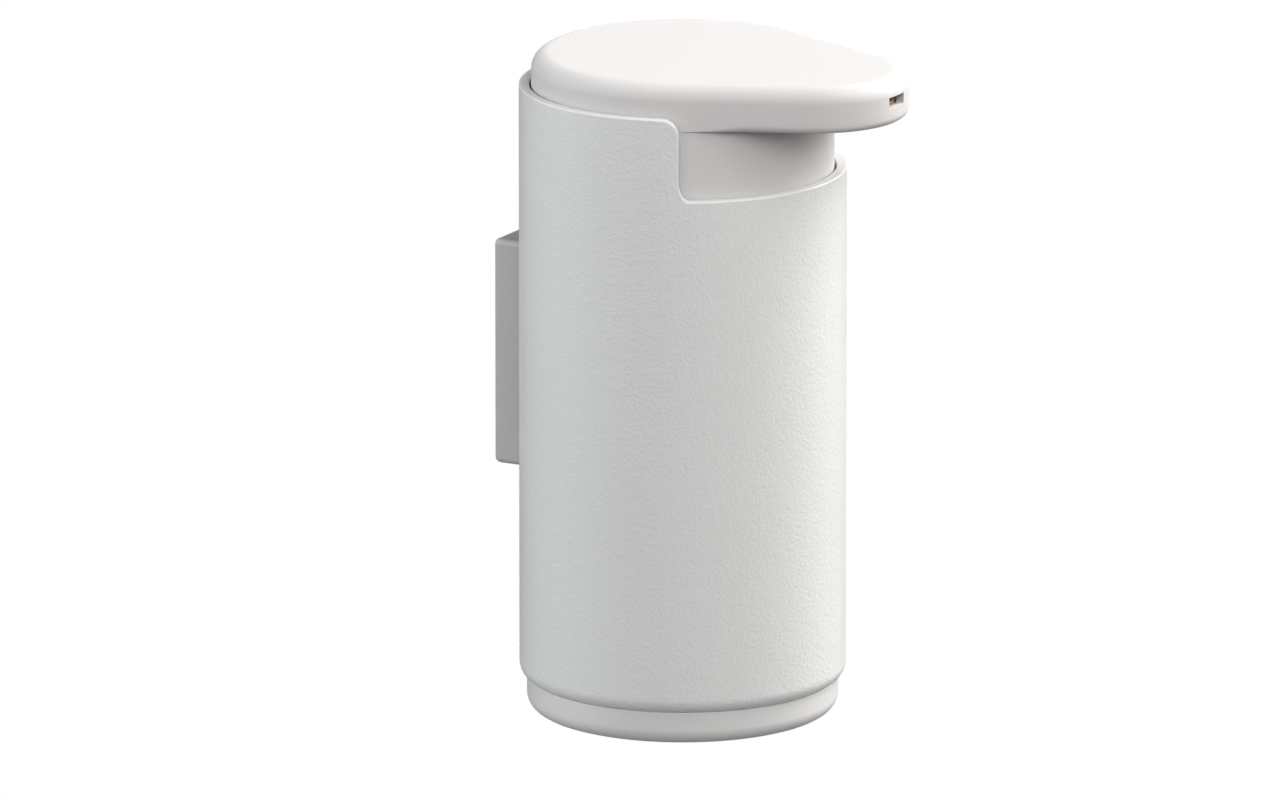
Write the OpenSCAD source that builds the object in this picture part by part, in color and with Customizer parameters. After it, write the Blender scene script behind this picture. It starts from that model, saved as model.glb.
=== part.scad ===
// Wall mounted soap dispenser: a powder-coated tube that hangs on a dovetail wall plate, with a
// lift-out soap container, a lift-out pump and a push-down head with a wide spout.
// Row frame: origin at the middle of the wall plate's back face, +Z up, the wall is the plane y = 0
// and the spout points along -Y. Units are millimetres.

/* [Outer sleeve] */
// Outside diameter of the sleeve
sleeve_d = 70; // [62:0.5:84]
// Height of the sleeve
sleeve_h = 130; // [120:1:170]
// Wall thickness of the sleeve
sleeve_wall = 2.2; // [1.8:0.1:3]
// Radius of the sleeve's upper outer edge
sleeve_edge_r = 1.6; // [0.5:0.1:1.6]
// Radius of the arc that draws the sleeve's lower edge in
sleeve_base_r = 3.6; // [3.2:0.1:4.2]
// Depth of the step cut in the front rim for the spout
notch_depth = 18.2; // [16:0.1:22]
// How far in front of the axis the step's upright edges stand
notch_setback = 15.9; // [10:0.1:20]
// Corner radius of the step
notch_r = 3.8; // [2:0.1:6]
// Radius of the step's inner corner
notch_inner_r = 3; // [1:0.1:5]

/* [Base cap] */
// Height of the base cap that shows under the sleeve
foot_h = 7.5; // [6:0.1:10]
// How far the foot stands inside the sleeve's outer face
foot_inset = 1.6; // [1:0.1:2]
// Radius of the foot's lower edge
foot_edge_r = 3.8; // [2:0.1:5]
// Floor thickness of the base cap
foot_floor = 3; // [2:0.1:3.6]
// Height of the ring that plugs into the sleeve
plug_h = 5; // [4:0.1:8]

/* [Head] */
// Thickness of the head above the skirt
head_h = 10; // [9.4:0.1:12]
// How far the head's top stands above the sleeve's high rim
head_rise = 6.9; // [5:0.1:9]
// Gap between the head's skirt and the sleeve
head_gap = 0.45; // [0.3:0.05:0.6]
// Reach of the spout in front of the axis
spout_reach = 51.8; // [46:0.1:60]
// Radius of the spout's end in plan
spout_tip_r = 19.7; // [14:0.1:21]
// Radius of the head's upper edge
head_edge_r = 3.7; // [2:0.1:4.2]
// Radius of the spout's lower edge
spout_edge_r = 1.2; // [0.3:0.1:1.4]
// Wall thickness of the head's top and sides
head_wall = 1.8; // [1.5:0.1:2]
// Wall thickness of the head's skirt
skirt_wall = 1.6; // [1.4:0.1:1.8]
// Width of the soap slot
slot_w = 6.5; // [5:0.1:8]
// Height of the soap slot
slot_h = 1.9; // [1.5:0.1:2.4]
// How far the head travels when pressed
stroke = 12; // [8:0.1:15]

/* [Container] */
// Wall thickness of the soap container
container_wall = 1.6; // [1.2:0.1:2]
// Gap between the container and the sleeve
container_gap = 0.5; // [0.3:0.05:0.8]

/* [Pump] */
// Bore of the pump cylinder
pump_bore = 14; // [11.6:0.1:17]
// Wall thickness of the pump cylinder
pump_wall = 1.2; // [1:0.1:1.6]
// Outside diameter of the hollow stem
stem_d = 8; // [7.6:0.1:8.6]
// Bore of the hollow stem
stem_bore = 4; // [3.6:0.1:4.1]
// Length of the piston seal
piston_l = 8; // [6:0.1:10]
// Wire diameter of the return spring
spring_wire = 1; // [0.8:0.05:1.1]
// Mean diameter of the return spring
spring_d = 10; // [9.6:0.1:10.4]
// Turns of the return spring
spring_turns = 8; // [6:1:9]
// Outside diameter of the dip tube
dip_d = 6; // [5:0.1:6.2]
// Wall thickness of the dip tube
dip_wall = 0.9; // [0.7:0.05:1.1]
// Diameter of the inlet ball
inlet_ball_d = 5.6; // [5.4:0.1:5.8]
// Diameter of the outlet ball
outlet_ball_d = 4.4; // [4.4:0.1:4.6]
// Lift of the inlet ball
inlet_lift = 1.5; // [1:0.1:2]
// Lift of the outlet ball
outlet_lift = 1.2; // [0.8:0.1:1.6]

/* [Wall mount] */
// Distance from the wall to the sleeve's nearest face
wall_gap = 5.2; // [5:0.1:8]
// Width of the mount block
block_w = 24; // [22:0.5:30]
// Height of the mount block
block_h = 49.4; // [46:0.1:60]
// Height of the block's lower face above the foot
block_z = 51.6; // [46:0.1:60]
// Thickness of the wall plate
plate_t = 2.6; // [2.4:0.1:2.8]
// Height of the wall plate
plate_h = 36; // [30:0.1:44]
// Width of the wall plate's front face
plate_w = 16; // [15:0.1:17]
// Distance between the wall screw holes
hole_pitch = 22; // [18:0.1:24]
// Diameter of the wall screw holes
hole_d = 4.5; // [4:0.1:5]
// Diameter of the wall screws' countersinks
sink_d = 8.6; // [8:0.1:9]

/* [Hidden] */
$fn = 96;
eps = 0.01;

// Clearances
fit = 0.1;          // parts of one assembly that are pushed or glued together
running = 0.05;     // radial clearance of a sliding pump part
slide_gap = 0.2;    // dovetail slide
stop_gap = 0.05;    // parts that rest on each other
wall_clear = 0.3;   // mount block to wall

// Sleeve, base cap and container
sleeve_r = sleeve_d / 2;
sleeve_ri = sleeve_r - sleeve_wall;
sleeve_top = foot_h + sleeve_h;
notch_z = sleeve_top - notch_depth;
foot_r = sleeve_r - foot_inset;
plug_r = sleeve_ri - fit;
plug_wall = 1.8;
plug_top = foot_h + plug_h;
key_w = 3.6;

sleeve_base_rise = 2.9;

container_r = sleeve_ri - container_gap;
container_ri = container_r - container_wall;
container_foot_r = plug_r - plug_wall - 0.3;
container_z = foot_floor + stop_gap;
container_floor = 2;
container_step = plug_top + 2;
lip_key_h = 2.5;

// Head: the skirt's lower end stays hidden under the step, and clears the carrier when pressed
head_r = sleeve_ri - head_gap;
head_top = sleeve_top + head_rise;
spout_z = head_top - head_h;
skirt_ri = head_r - skirt_wall;
skirt_hide = 3.5;
skirt_z = notch_z - skirt_hide;
head_roof = head_top - 2;
tip_y = spout_reach - spout_tip_r;
lean = asin((head_r - spout_tip_r) / tip_y);
flank_l = tip_y * cos(lean);
band_inset = 0.02;
band_lap = 0.4;
rib_w = 2.4;
rib_depth = 1;

// Carrier: the plate that closes the container and guides the skirt
carrier_t = 2;
press_gap = 0.8;
carrier_z = skirt_z - stroke - press_gap - carrier_t;
carrier_top = carrier_z + carrier_t;
container_top = carrier_z - stop_gap;
carrier_r = container_r - 0.1;
turret_r = skirt_ri - 0.45;
turret_wall = 1.5;
turret_top = skirt_z + 6.2;
bung_h = 7;
bung_r = container_ri - 0.4;
bung_wall = 1.8;
seal_h = 2;
seal_z = carrier_z - 4.6;
seal_depth = 1;
vent_d = 1.6;

// Pump engine, from the carrier down
housing_ri = pump_bore / 2;
housing_r = housing_ri + pump_wall;
flange_t = 1.6;
flange_r = housing_r + 2.8;
gasket_t = 1;
flange_z = carrier_top + gasket_t;
housing_top = flange_z + flange_t;
collar_r = flange_r + 0.8;
collar_wall = 1.4;
cap_h = 6.4;
cap_top = housing_top + cap_h;

stem_r = stem_d / 2;
stem_bore_r = stem_bore / 2;
shoulder_t = 0.8;
shoulder_r = stem_r + 1.2;
piston_top = housing_top - fit - shoulder_t;
piston_z = piston_top - piston_l;
stem_foot_t = 1.5;
stem_z = piston_z - stem_foot_t;
stem_foot_r = housing_ri - 0.8;
spring_rest_h = 28.5;
spring_z = stem_z - spring_rest_h;
cage_t = 1.6;
cage_z = spring_z - cage_t;
cage_hole_r = 0.8;
cage_hole_at = 3.1;

inlet_ball_r = inlet_ball_d / 2;
inlet_seat_r = 2.2;
inlet_seat_rise = sqrt(inlet_ball_r * inlet_ball_r - inlet_seat_r * inlet_seat_r);
inlet_seat_z = cage_z - inlet_lift - stop_gap - inlet_ball_r - inlet_seat_rise;
inlet_ball_z = inlet_seat_z + inlet_seat_rise + stop_gap;
valve_r = inlet_ball_r + 1;
seat_t = 2;
socket_l = 10;
dip_r = dip_d / 2;
dip_top = inlet_seat_z - seat_t;
socket_z = dip_top - socket_l;
socket_r = dip_r + 1.4;
dip_z = container_z + container_floor + 3;

// Stem top, outlet valve and the head's socket
head_socket_r = 7.2;
head_socket_z = cap_top + stroke + 1.5;
stem_top = head_roof - 5.9;
outlet_ball_r = outlet_ball_d / 2;
outlet_seat_rise = sqrt(outlet_ball_r * outlet_ball_r - stem_bore_r * stem_bore_r);
outlet_seat_z = stem_top - 6.5;
outlet_ball_z = outlet_seat_z + outlet_seat_rise + stop_gap;
outlet_bore_r = outlet_ball_r + 0.5;
chamber_r = 3.2;
stop_pin_r = 0.9;
stop_pin_z = outlet_ball_z + outlet_ball_r + outlet_lift + stop_gap;

// Soap duct and the plate under the spout
duct_wall = 1.4;
duct_w = slot_w + 2 * duct_wall;
duct_h = slot_h + 2 * duct_wall;
slot_z = head_top - 4.8;
duct_back = 4.4;
duct_front = tip_y + sqrt(pow(spout_tip_r - head_wall, 2) - pow(duct_w / 2, 2)) - 0.15;
underplate_t = 1.6;

// Wall mount
wall_y = sleeve_r + wall_gap;
plate_rise = 3;
plate_z = block_z + plate_rise;
plate_mid = plate_z + plate_h / 2;
dove_in = 1.6;
block_corner_r = 1;
screw_r = 1.5;
screw_head_r = 2.8;
screw_sink = screw_head_r - screw_r;
screw_l = sleeve_wall + wall_gap - plate_t - slide_gap - 0.1;
screw_inset = 5.2;
pocket_top = plate_z + plate_h + stop_gap;
screw_seat = screw_r + 1.5;      // solid block left between the pocket and the upper screw
block_top = max(block_z + block_h, pocket_top + screw_seat + screw_inset);

// ---------- helpers ----------

// Moves a piece from the sleeve's own axis, with the foot at z = 0, into the row frame
module on_wall() translate([0, -wall_y, -plate_mid]) children();

// A straight round tube or disc
module tube(r, ri, z, h) {
    difference() {
        translate([0, 0, z]) cylinder(r = r, h = h);
        translate([0, 0, z - 1]) cylinder(r = ri, h = h + 2);
    }
}

module rod(r, z, h) translate([0, 0, z]) cylinder(r = r, h = h);

module ball(r, z) translate([0, 0, z]) sphere(r = r);

// Mirrors across the middle plane when side is -1
module sided(side) {
    if (side < 0) mirror([1, 0, 0]) children();
    else children();
}

// A box that is centred on x, from y0 to y1 and from z0 to z1
module bar(w, y0, y1, z0, z1) translate([-w / 2, y0, z0]) cube([w, y1 - y0, z1 - z0]);

// The sleeve's wall in section: a round upper outer edge and a lower edge that is drawn in
module sleeve_section() {
    x = sleeve_r - sleeve_edge_r;
    low = foot_h + sleeve_base_rise;
    difference() {
        union() {
            translate([sleeve_ri, foot_h]) square([x - sleeve_ri, sleeve_h]);
            translate([sleeve_ri, foot_h]) square([sleeve_wall, sleeve_h - sleeve_edge_r]);
            translate([x, sleeve_top - sleeve_edge_r]) circle(r = sleeve_edge_r);
        }
        // the arc below the lower edge takes its corner off
        difference() {
            translate([x - 1, foot_h - 1]) square([sleeve_edge_r + 2, sleeve_base_rise + 1]);
            translate([sleeve_r - sleeve_base_r, low]) circle(r = sleeve_base_r);
        }
        // nothing of the edge's circle may reach into the bore
        translate([0, foot_h]) square([sleeve_ri, sleeve_h]);
    }
}

// Side view of what the step takes off: x is forward from the axis, y is height
module step_side() {
    reach = sleeve_r + 1;
    knee = sleeve_top - notch_r + 2 * eps;
    difference() {
        union() {
            translate([notch_setback, notch_z]) square([reach, notch_depth + 1]);
            translate([notch_setback - notch_r, knee]) square([notch_r + 1, notch_r + 1]);
        }
        translate([notch_setback - notch_r, knee]) circle(r = notch_r);
        difference() {
            translate([notch_setback - 1, notch_z - 1]) square(notch_inner_r + 1);
            translate([notch_setback + notch_inner_r, notch_z + notch_inner_r]) circle(r = notch_inner_r);
        }
    }
}

// Half of a section with its upper corner rounded by ru and its lower corner by rl
module soft_section(r, z0, z1, ru, rl) {
    translate([0, z0]) square([r - max(ru, rl), z1 - z0]);
    translate([0, z0 + rl]) square([r, z1 - z0 - ru - rl]);
    translate([0, z0 + rl]) square([r - ru, z1 - z0 - rl]);
    translate([0, z0]) square([r - rl, z1 - z0 - ru]);
    intersection() {
        translate([r - ru, z1 - ru]) circle(r = ru);
        translate([0, z1 - ru]) square([r, ru]);
    }
    intersection() {
        translate([r - rl, z0 + rl]) circle(r = rl);
        translate([0, z0]) square([r, rl]);
    }
}

// The head's outer form: a large disc, the spout's end disc and a straight band along each flank
module head_form() {
    rotate_extrude() soft_section(head_r, spout_z, head_top, head_edge_r, spout_edge_r);
    translate([0, -tip_y, 0]) rotate_extrude()
        soft_section(spout_tip_r, spout_z, head_top, head_edge_r, spout_edge_r);
    for (side = [-1, 1]) sided(side) rotate([90, 0, -lean]) translate([0, 0, -band_lap])
        linear_extrude(flank_l + 2 * band_lap)
            soft_section(head_r - band_inset, spout_z, head_top, head_edge_r, spout_edge_r);
}

// The spout's plan set in by the given amount, without what lies inside the skirt
module spout_block(inset, gap, z0, z1) {
    difference() {
        union() {
            translate([0, -tip_y, 0]) rod(spout_tip_r - inset, z0, z1 - z0);
            for (side = [-1, 1]) sided(side) rotate([0, 0, -lean])
                translate([0, -flank_l - band_lap, z0])
                    cube([head_r - inset - band_inset, flank_l + 2 * band_lap, z1 - z0]);
        }
        rod(head_r + gap, z0 - 1, z1 - z0 + 2);
    }
}

// Centres of the two screws that hold the mount block, along z
function screw_heights() = [block_z + screw_inset, block_top - screw_inset];

// A countersunk screw that points along +y, with its head's flat face at y = 0
module screw_shape(grow) {
    rotate([-90, 0, 0]) {
        cylinder(r = screw_r + grow, h = screw_l);
        cylinder(r1 = screw_head_r + grow, r2 = screw_r + grow, h = screw_sink);
    }
}

// Dovetail in plan: the wall plane is y = 0, and the wide side faces the room
module dovetail(front, back, depth) {
    polygon([[-back, 0], [back, 0], [front, -depth], [-front, -depth]]);
}

// ---------- wall mount ----------

module wall_plate() color("silver") {
    difference() {
        translate([0, 0, -plate_h / 2]) linear_extrude(plate_h)
            dovetail(plate_w / 2, plate_w / 2 - dove_in, plate_t);
        for (z = [-hole_pitch / 2, hole_pitch / 2]) translate([0, 0, z]) rotate([90, 0, 0]) {
            translate([0, 0, -1]) cylinder(r = hole_d / 2, h = plate_t + 2);
            translate([0, 0, plate_t - (sink_d - hole_d) / 2])
                cylinder(r1 = hole_d / 2, r2 = sink_d / 2 + eps, h = (sink_d - hole_d) / 2 + eps);
        }
    }
}

module block_plan() {
    half = block_w / 2;
    back = wall_y - wall_clear;
    translate([-half, 0]) square([block_w, back - block_corner_r]);
    translate([-half + block_corner_r, 0]) square([block_w - 2 * block_corner_r, back]);
    for (x = [-1, 1]) translate([x * (half - block_corner_r), back - block_corner_r])
        circle(r = block_corner_r);
}

module mount_block() color("gainsboro") on_wall() {
    difference() {
        translate([0, 0, block_z]) linear_extrude(block_top - block_z) block_plan();
        rod(sleeve_r + running, block_z - 1, block_top - block_z + 2);
        translate([0, wall_y, block_z - 1])
            linear_extrude(pocket_top - block_z + 1)
                dovetail(plate_w / 2 + slide_gap, plate_w / 2 - dove_in + slide_gap, plate_t + slide_gap);
        for (z = screw_heights()) translate([0, 0, z]) rotate([-90, 0, 0])
            cylinder(r = screw_r + running, h = sleeve_ri + screw_l + 0.5);
    }
}

module block_screws() color("silver") on_wall() {
    for (z = screw_heights()) translate([0, sleeve_ri, z]) screw_shape(0);
}

// ---------- sleeve, base cap and container ----------

module outer_sleeve() color("whitesmoke") on_wall() {
    difference() {
        rotate_extrude() sleeve_section();
        rotate([90, 0, -90]) translate([0, 0, -sleeve_r - 1]) linear_extrude(sleeve_d + 2) step_side();
        for (z = screw_heights()) translate([0, sleeve_ri, z]) {
            screw_shape(fit);
            rotate([90, 0, 0]) cylinder(r = screw_head_r + fit, h = 1);
        }
    }
}

module base_cap() color("lightgray") on_wall() {
    difference() {
        union() {
            rotate_extrude() soft_section(foot_r, 0, foot_h - stop_gap, eps, foot_edge_r);
            rod(plug_r, foot_h - 1, plug_h + 1);
        }
        rod(plug_r - plug_wall, foot_floor, plug_top);
        bar(key_w + 0.4, 0, plug_r + 1, foot_h + 0.5, plug_top + 1);
    }
}

module soap_container() color("white", 0.8) on_wall() {
    difference() {
        union() {
            rod(container_foot_r, container_z, container_step - container_z);
            rod(container_r, container_step, container_top - container_step);
            bar(key_w, container_foot_r - 1, container_r - 0.2, foot_h + 0.8, container_step + eps);
        }
        rod(container_foot_r - container_wall, container_z + container_floor, container_step);
        rod(container_ri, container_step + container_wall, container_top);
        bar(key_w + 0.4, container_ri - 1, container_r + 1, container_top - lip_key_h, container_top + 1);
    }
}

// ---------- pump ----------

module pump_carrier() color("white") on_wall() {
    difference() {
        union() {
            rod(carrier_r, carrier_z, carrier_t);
            tube(bung_r, bung_r - bung_wall, carrier_z - bung_h, bung_h + eps);
            tube(turret_r, turret_r - turret_wall, carrier_z, turret_top - carrier_z);
            tube(collar_r + collar_wall, collar_r, carrier_z, cap_top - 1 - carrier_z);
            bar(key_w, bung_r - bung_wall, carrier_r - 0.1, container_top - lip_key_h + 0.3, carrier_z + eps);
        }
        rod(housing_r + fit, carrier_z - bung_h - 1, bung_h + carrier_t + 2);
        tube(bung_r + 1, bung_r - seal_depth, seal_z, seal_h);
        for (side = [0, 180]) rotate([0, 0, side])
            translate([turret_r - turret_wall - 0.5, -rib_w / 2 - 0.2, carrier_top])
                cube([turret_wall + 1, rib_w + 0.4, turret_top]);
        translate([0, (collar_r + turret_r) / 2, 0]) rod(vent_d / 2, carrier_z - 1, carrier_t + 2);
    }
}

module closure_seal() color("gray") on_wall()
    tube(container_ri - running, bung_r - seal_depth + running, seal_z + running, seal_h - 2 * running);

module housing_gasket() color("dimgray") on_wall()
    tube(flange_r, housing_r + fit, carrier_top, gasket_t);

module pump_housing() color("ghostwhite") on_wall() {
    difference() {
        union() {
            rod(flange_r, flange_z, flange_t);
            rod(housing_r, cage_z - 1, flange_z - cage_z + 1 + eps);
            translate([0, 0, inlet_seat_z - seat_t])
                cylinder(r1 = socket_r, r2 = housing_r, h = cage_z - 1 - inlet_seat_z + seat_t + eps);
            rod(socket_r, socket_z, socket_l + eps);
        }
        rod(housing_ri, cage_z, housing_top);
        rod(valve_r, inlet_seat_z, cage_z);
        rod(inlet_seat_r, dip_top - 1, seat_t + 2);
        rod(dip_r + fit / 2, socket_z - 1, socket_l + 1);
    }
}

module housing_cap() color("white") on_wall() {
    difference() {
        union() {
            rod(collar_r - fit, housing_top, cap_h);
            rod(collar_r + collar_wall, cap_top - 1 + running, 1 - running);
        }
        rod(stem_r + running, housing_top - 1, cap_h + 2);
    }
}

module ball_cage() color("white") on_wall() {
    difference() {
        rod(housing_ri - fit, cage_z + running, cage_t - running);
        for (turn = [0 : 60 : 300]) rotate([0, 0, turn]) translate([cage_hole_at, 0, 0])
            rod(cage_hole_r, cage_z - 1, cage_t + 2);
    }
}

module inlet_ball() color("silver") on_wall() ball(inlet_ball_r, inlet_ball_z);

module dip_tube() color("white", 0.6) on_wall() {
    difference() {
        tube(dip_r, dip_r - dip_wall, dip_z, dip_top - dip_z - stop_gap);
        translate([-dip_r - 1, 0, dip_z]) rotate([0, 90, 0])
            cylinder(r = 1.4, h = dip_d + 2);
    }
}

// A wire wound round the axis: dead coils at both ends, with the live turns between them
spring_sides = 8;
spring_steps = 14;
spring_dead = 1;
spring_total = spring_turns + 2 * spring_dead;
spring_base = spring_z + spring_wire / 2 + stop_gap;
spring_span = spring_rest_h - spring_wire - 2 * stop_gap;
dead_pitch = spring_wire * 1.04;

function coil_height(t) =
    t < spring_dead ? t * dead_pitch
    : t > spring_total - spring_dead ? spring_span - (spring_total - t) * dead_pitch
    : spring_dead * dead_pitch
        + (t - spring_dead) / spring_turns * (spring_span - 2 * spring_dead * dead_pitch);

function coil_ring(t) = [
    for (k = [0 : spring_sides - 1])
        let (a = 360 * t, b = 360 * k / spring_sides,
             reach = spring_d / 2 + spring_wire / 2 * cos(b))
        [reach * cos(a), reach * sin(a), spring_base + coil_height(t) + spring_wire / 2 * sin(b)]
];

module return_spring() color("lightsteelblue") on_wall() {
    rings = spring_total * spring_steps;
    points = [for (i = [0 : rings]) each coil_ring(i / spring_steps)];
    sides = [
        for (i = [0 : rings - 1]) for (k = [0 : spring_sides - 1])
            let (n = (k + 1) % spring_sides, a = i * spring_sides, b = a + spring_sides)
            each [[a + k, a + n, b + n], [a + k, b + n, b + k]]
    ];
    start = [[for (k = [spring_sides - 1 : -1 : 0]) k]];
    end = [[for (k = [0 : spring_sides - 1]) rings * spring_sides + k]];
    polyhedron(points = points, faces = concat(sides, start, end));
}

module piston_seal() color("gray") on_wall() {
    difference() {
        rod(housing_ri - running, piston_z, piston_l);
        rod(stem_r + running, piston_z - 1, piston_l + 2);
        tube(housing_ri + 1, housing_ri - 0.9, piston_z + 2, piston_l - 4);
    }
}

module pump_stem() color("white") on_wall() {
    difference() {
        union() {
            rod(stem_r, stem_z, stem_top - stem_z);
            rod(stem_foot_r, stem_z, stem_foot_t);
            rod(shoulder_r, piston_top, shoulder_t);
        }
        rod(stem_bore_r, stem_z - 1, stem_top);
        rod(outlet_bore_r, outlet_seat_z, stem_top);
    }
}

module outlet_ball() color("silver") on_wall() ball(outlet_ball_r, outlet_ball_z);

// ---------- head ----------

module head_shell() color("white") on_wall() {
    difference() {
        union() {
            difference() {
                union() {
                    head_form();
                    rod(head_r, skirt_z, spout_z - skirt_z + spout_edge_r + 1);
                }
                rod(skirt_ri, skirt_z - 1, head_roof - skirt_z + 1);
                spout_block(head_wall, 0, spout_z - 1, head_roof);
            }
            rod(head_socket_r, head_socket_z, head_roof - head_socket_z + eps);
            for (side = [0, 180]) rotate([0, 0, side])
                translate([skirt_ri - rib_depth, -rib_w / 2, skirt_z])
                    cube([rib_depth + 0.5, rib_w, head_roof - skirt_z + eps]);
        }
        difference() {
            union() {
                rod(stem_r + fit, head_socket_z - 1, stem_top + fit - head_socket_z + 1);
                rod(chamber_r, head_socket_z, head_roof - head_socket_z);
            }
            rod(stop_pin_r, stop_pin_z, head_roof - stop_pin_z + 1);
        }
        // the duct's seat through the socket and the skirt, and the slot in the spout's end
        bar(duct_w + 0.2, -duct_front - 0.1, -duct_back + 0.1,
            slot_z - duct_h / 2 - 0.1, slot_z + duct_h / 2 + 0.1);
        bar(slot_w, -duct_back, -chamber_r + 0.6, slot_z - slot_h / 2, slot_z + slot_h / 2);
        bar(slot_w, -spout_reach - 1, -duct_front, slot_z - slot_h / 2, slot_z + slot_h / 2);
    }
}

module spout_underplate() color("white") on_wall()
    spout_block(head_wall + fit, fit, spout_z, spout_z + underplate_t);

module soap_duct() color("linen") on_wall() {
    difference() {
        bar(duct_w, -duct_front, -duct_back, slot_z - duct_h / 2, slot_z + duct_h / 2);
        bar(slot_w, -duct_front - 1, -duct_back + 1, slot_z - slot_h / 2, slot_z + slot_h / 2);
    }
}

wall_plate();
mount_block();
block_screws();
outer_sleeve();
base_cap();
soap_container();
pump_carrier();
closure_seal();
housing_gasket();
pump_housing();
housing_cap();
ball_cage();
inlet_ball();
dip_tube();
return_spring();
piston_seal();
pump_stem();
outlet_ball();
head_shell();
spout_underplate();
soap_duct();
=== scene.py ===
"""Visual model of a wall mounted soap dispenser: powder-coated sleeve, moulded press head and pump."""

import logging
import math
from collections.abc import Callable, Sequence
from dataclasses import dataclass, field
from enum import Enum
from typing import Any

import bmesh
import bpy
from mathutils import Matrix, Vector


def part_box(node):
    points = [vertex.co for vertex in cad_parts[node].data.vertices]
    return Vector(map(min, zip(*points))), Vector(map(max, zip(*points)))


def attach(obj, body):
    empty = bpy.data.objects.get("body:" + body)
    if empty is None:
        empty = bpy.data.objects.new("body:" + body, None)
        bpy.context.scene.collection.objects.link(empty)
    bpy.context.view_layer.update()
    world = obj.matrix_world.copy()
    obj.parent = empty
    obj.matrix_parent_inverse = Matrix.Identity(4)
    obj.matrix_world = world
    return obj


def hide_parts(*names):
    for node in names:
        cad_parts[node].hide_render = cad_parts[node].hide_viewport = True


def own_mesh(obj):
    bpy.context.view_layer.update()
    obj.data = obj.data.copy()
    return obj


LOG = logging.getLogger("soap_dispenser")
MM = 0.001
TURN = 2 * math.pi

Point = tuple[float, float, float]
Flat = tuple[float, float]
Corner = tuple[float, float, float]
Rows = Sequence[Sequence[Point]]
Colour = tuple[float, float, float, float]

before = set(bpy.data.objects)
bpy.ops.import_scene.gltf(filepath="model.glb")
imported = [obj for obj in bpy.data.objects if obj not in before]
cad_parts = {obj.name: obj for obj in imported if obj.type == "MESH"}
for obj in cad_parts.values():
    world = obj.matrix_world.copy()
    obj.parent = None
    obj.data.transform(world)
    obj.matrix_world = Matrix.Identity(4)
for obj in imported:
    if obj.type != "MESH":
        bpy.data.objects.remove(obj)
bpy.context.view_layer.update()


class Axis(Enum):
    """The direction that a turned or extruded shape runs along."""

    Y = "y"
    Z = "z"

    def point(self, across: float, up: float, along: float) -> Point:
        """Turns section coordinates into a point.

        Args:
            across: first coordinate in the section.
            up: second coordinate in the section.
            along: distance along the axis.

        Returns:
            The point in the dispenser's own frame.
        """
        if self is Axis.Z:
            return (across, up, along)
        return (across, along, up)


class Join(Enum):
    """How one workpiece changes another."""

    CUT = "DIFFERENCE"
    WELD = "UNION"


@dataclass(frozen=True)
class Datum:
    """Where the dispenser's own axis and foot lie in the row frame, in millimetres."""

    axis_y: float
    foot_z: float

    @classmethod
    def from_frame(cls, block_back: float) -> "Datum":
        """Reads the axis from the mount block's flat back, and the foot from the base cap.

        Args:
            block_back: distance from the axis to the back of the mount block.

        Returns:
            The datum that every piece is placed from.
        """
        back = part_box("mount_block")[1].y / MM
        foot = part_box("base_cap")[0].z / MM
        return cls(back - block_back, foot)

    def place(self, point: Sequence[float]) -> Vector:
        """Moves a point from the dispenser's own frame to the row frame, in metres."""
        return Vector((point[0], point[1] + self.axis_y, point[2] + self.foot_z)) * MM


def spread(start: float, end: float, steps: int) -> list[float]:
    """Evenly spaced values from start to end, both included."""
    return [start + (end - start) * i / steps for i in range(steps + 1)]


def ring(count: int) -> list[float]:
    """Angles of a full turn, without the closing one."""
    return [TURN * i / count for i in range(count)]


def ramp(low: float, high: float, value: float) -> float:
    """Smooth step from 0 at low to 1 at high."""
    t = min(1.0, max(0.0, (value - low) / (high - low)))
    return t * t * (3 - 2 * t)


def cos_sin(degrees: float) -> Flat:
    """Cosine and sine of an angle in degrees."""
    return math.cos(math.radians(degrees)), math.sin(math.radians(degrees))


def add_object(name: str, data: Any) -> bpy.types.Object:
    """Adds an object to the scene.

    Args:
        name: the object's name.
        data: its mesh, lamp or camera.

    Returns:
        The object.
    """
    made = bpy.data.objects.new(name, data)
    bpy.context.scene.collection.objects.link(made)
    return made


def shade_evenly(made: bpy.types.Object) -> None:
    """Evens out the shading of an object and keeps its crisp edges crisp."""
    even = made.modifiers.new("even_shading", "WEIGHTED_NORMAL")
    even.keep_sharp = True


def rounded(corners: Sequence[Corner], steps: int = 5) -> list[Flat]:
    """Rounds the corners of a closed outline.

    Args:
        corners: each corner's two coordinates and its fillet radius.
        steps: segments on each fillet.

    Returns:
        The outline's points.
    """
    path: list[Flat] = []
    for i, (x, y, radius) in enumerate(corners):
        here = Vector((x, y))
        before = Vector(corners[i - 1][:2]) - here
        after = Vector(corners[(i + 1) % len(corners)][:2]) - here
        if radius <= 0:
            path.append((x, y))
            continue
        half = before.angle(after) / 2
        run = min(radius / math.tan(half), 0.49 * before.length, 0.49 * after.length)
        fillet = run * math.tan(half)
        middle = (before.normalized() + after.normalized()).normalized()
        centre = here + middle * (fillet / math.sin(half))
        start = here + before.normalized() * run - centre
        end = here + after.normalized() * run - centre
        first = math.atan2(start.y, start.x)
        sweep = (math.atan2(end.y, end.x) - first + math.pi) % TURN - math.pi
        for k in range(steps + 1):
            angle = first + sweep * k / steps
            path.append((centre.x + fillet * math.cos(angle), centre.y + fillet * math.sin(angle)))
    return path


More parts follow.
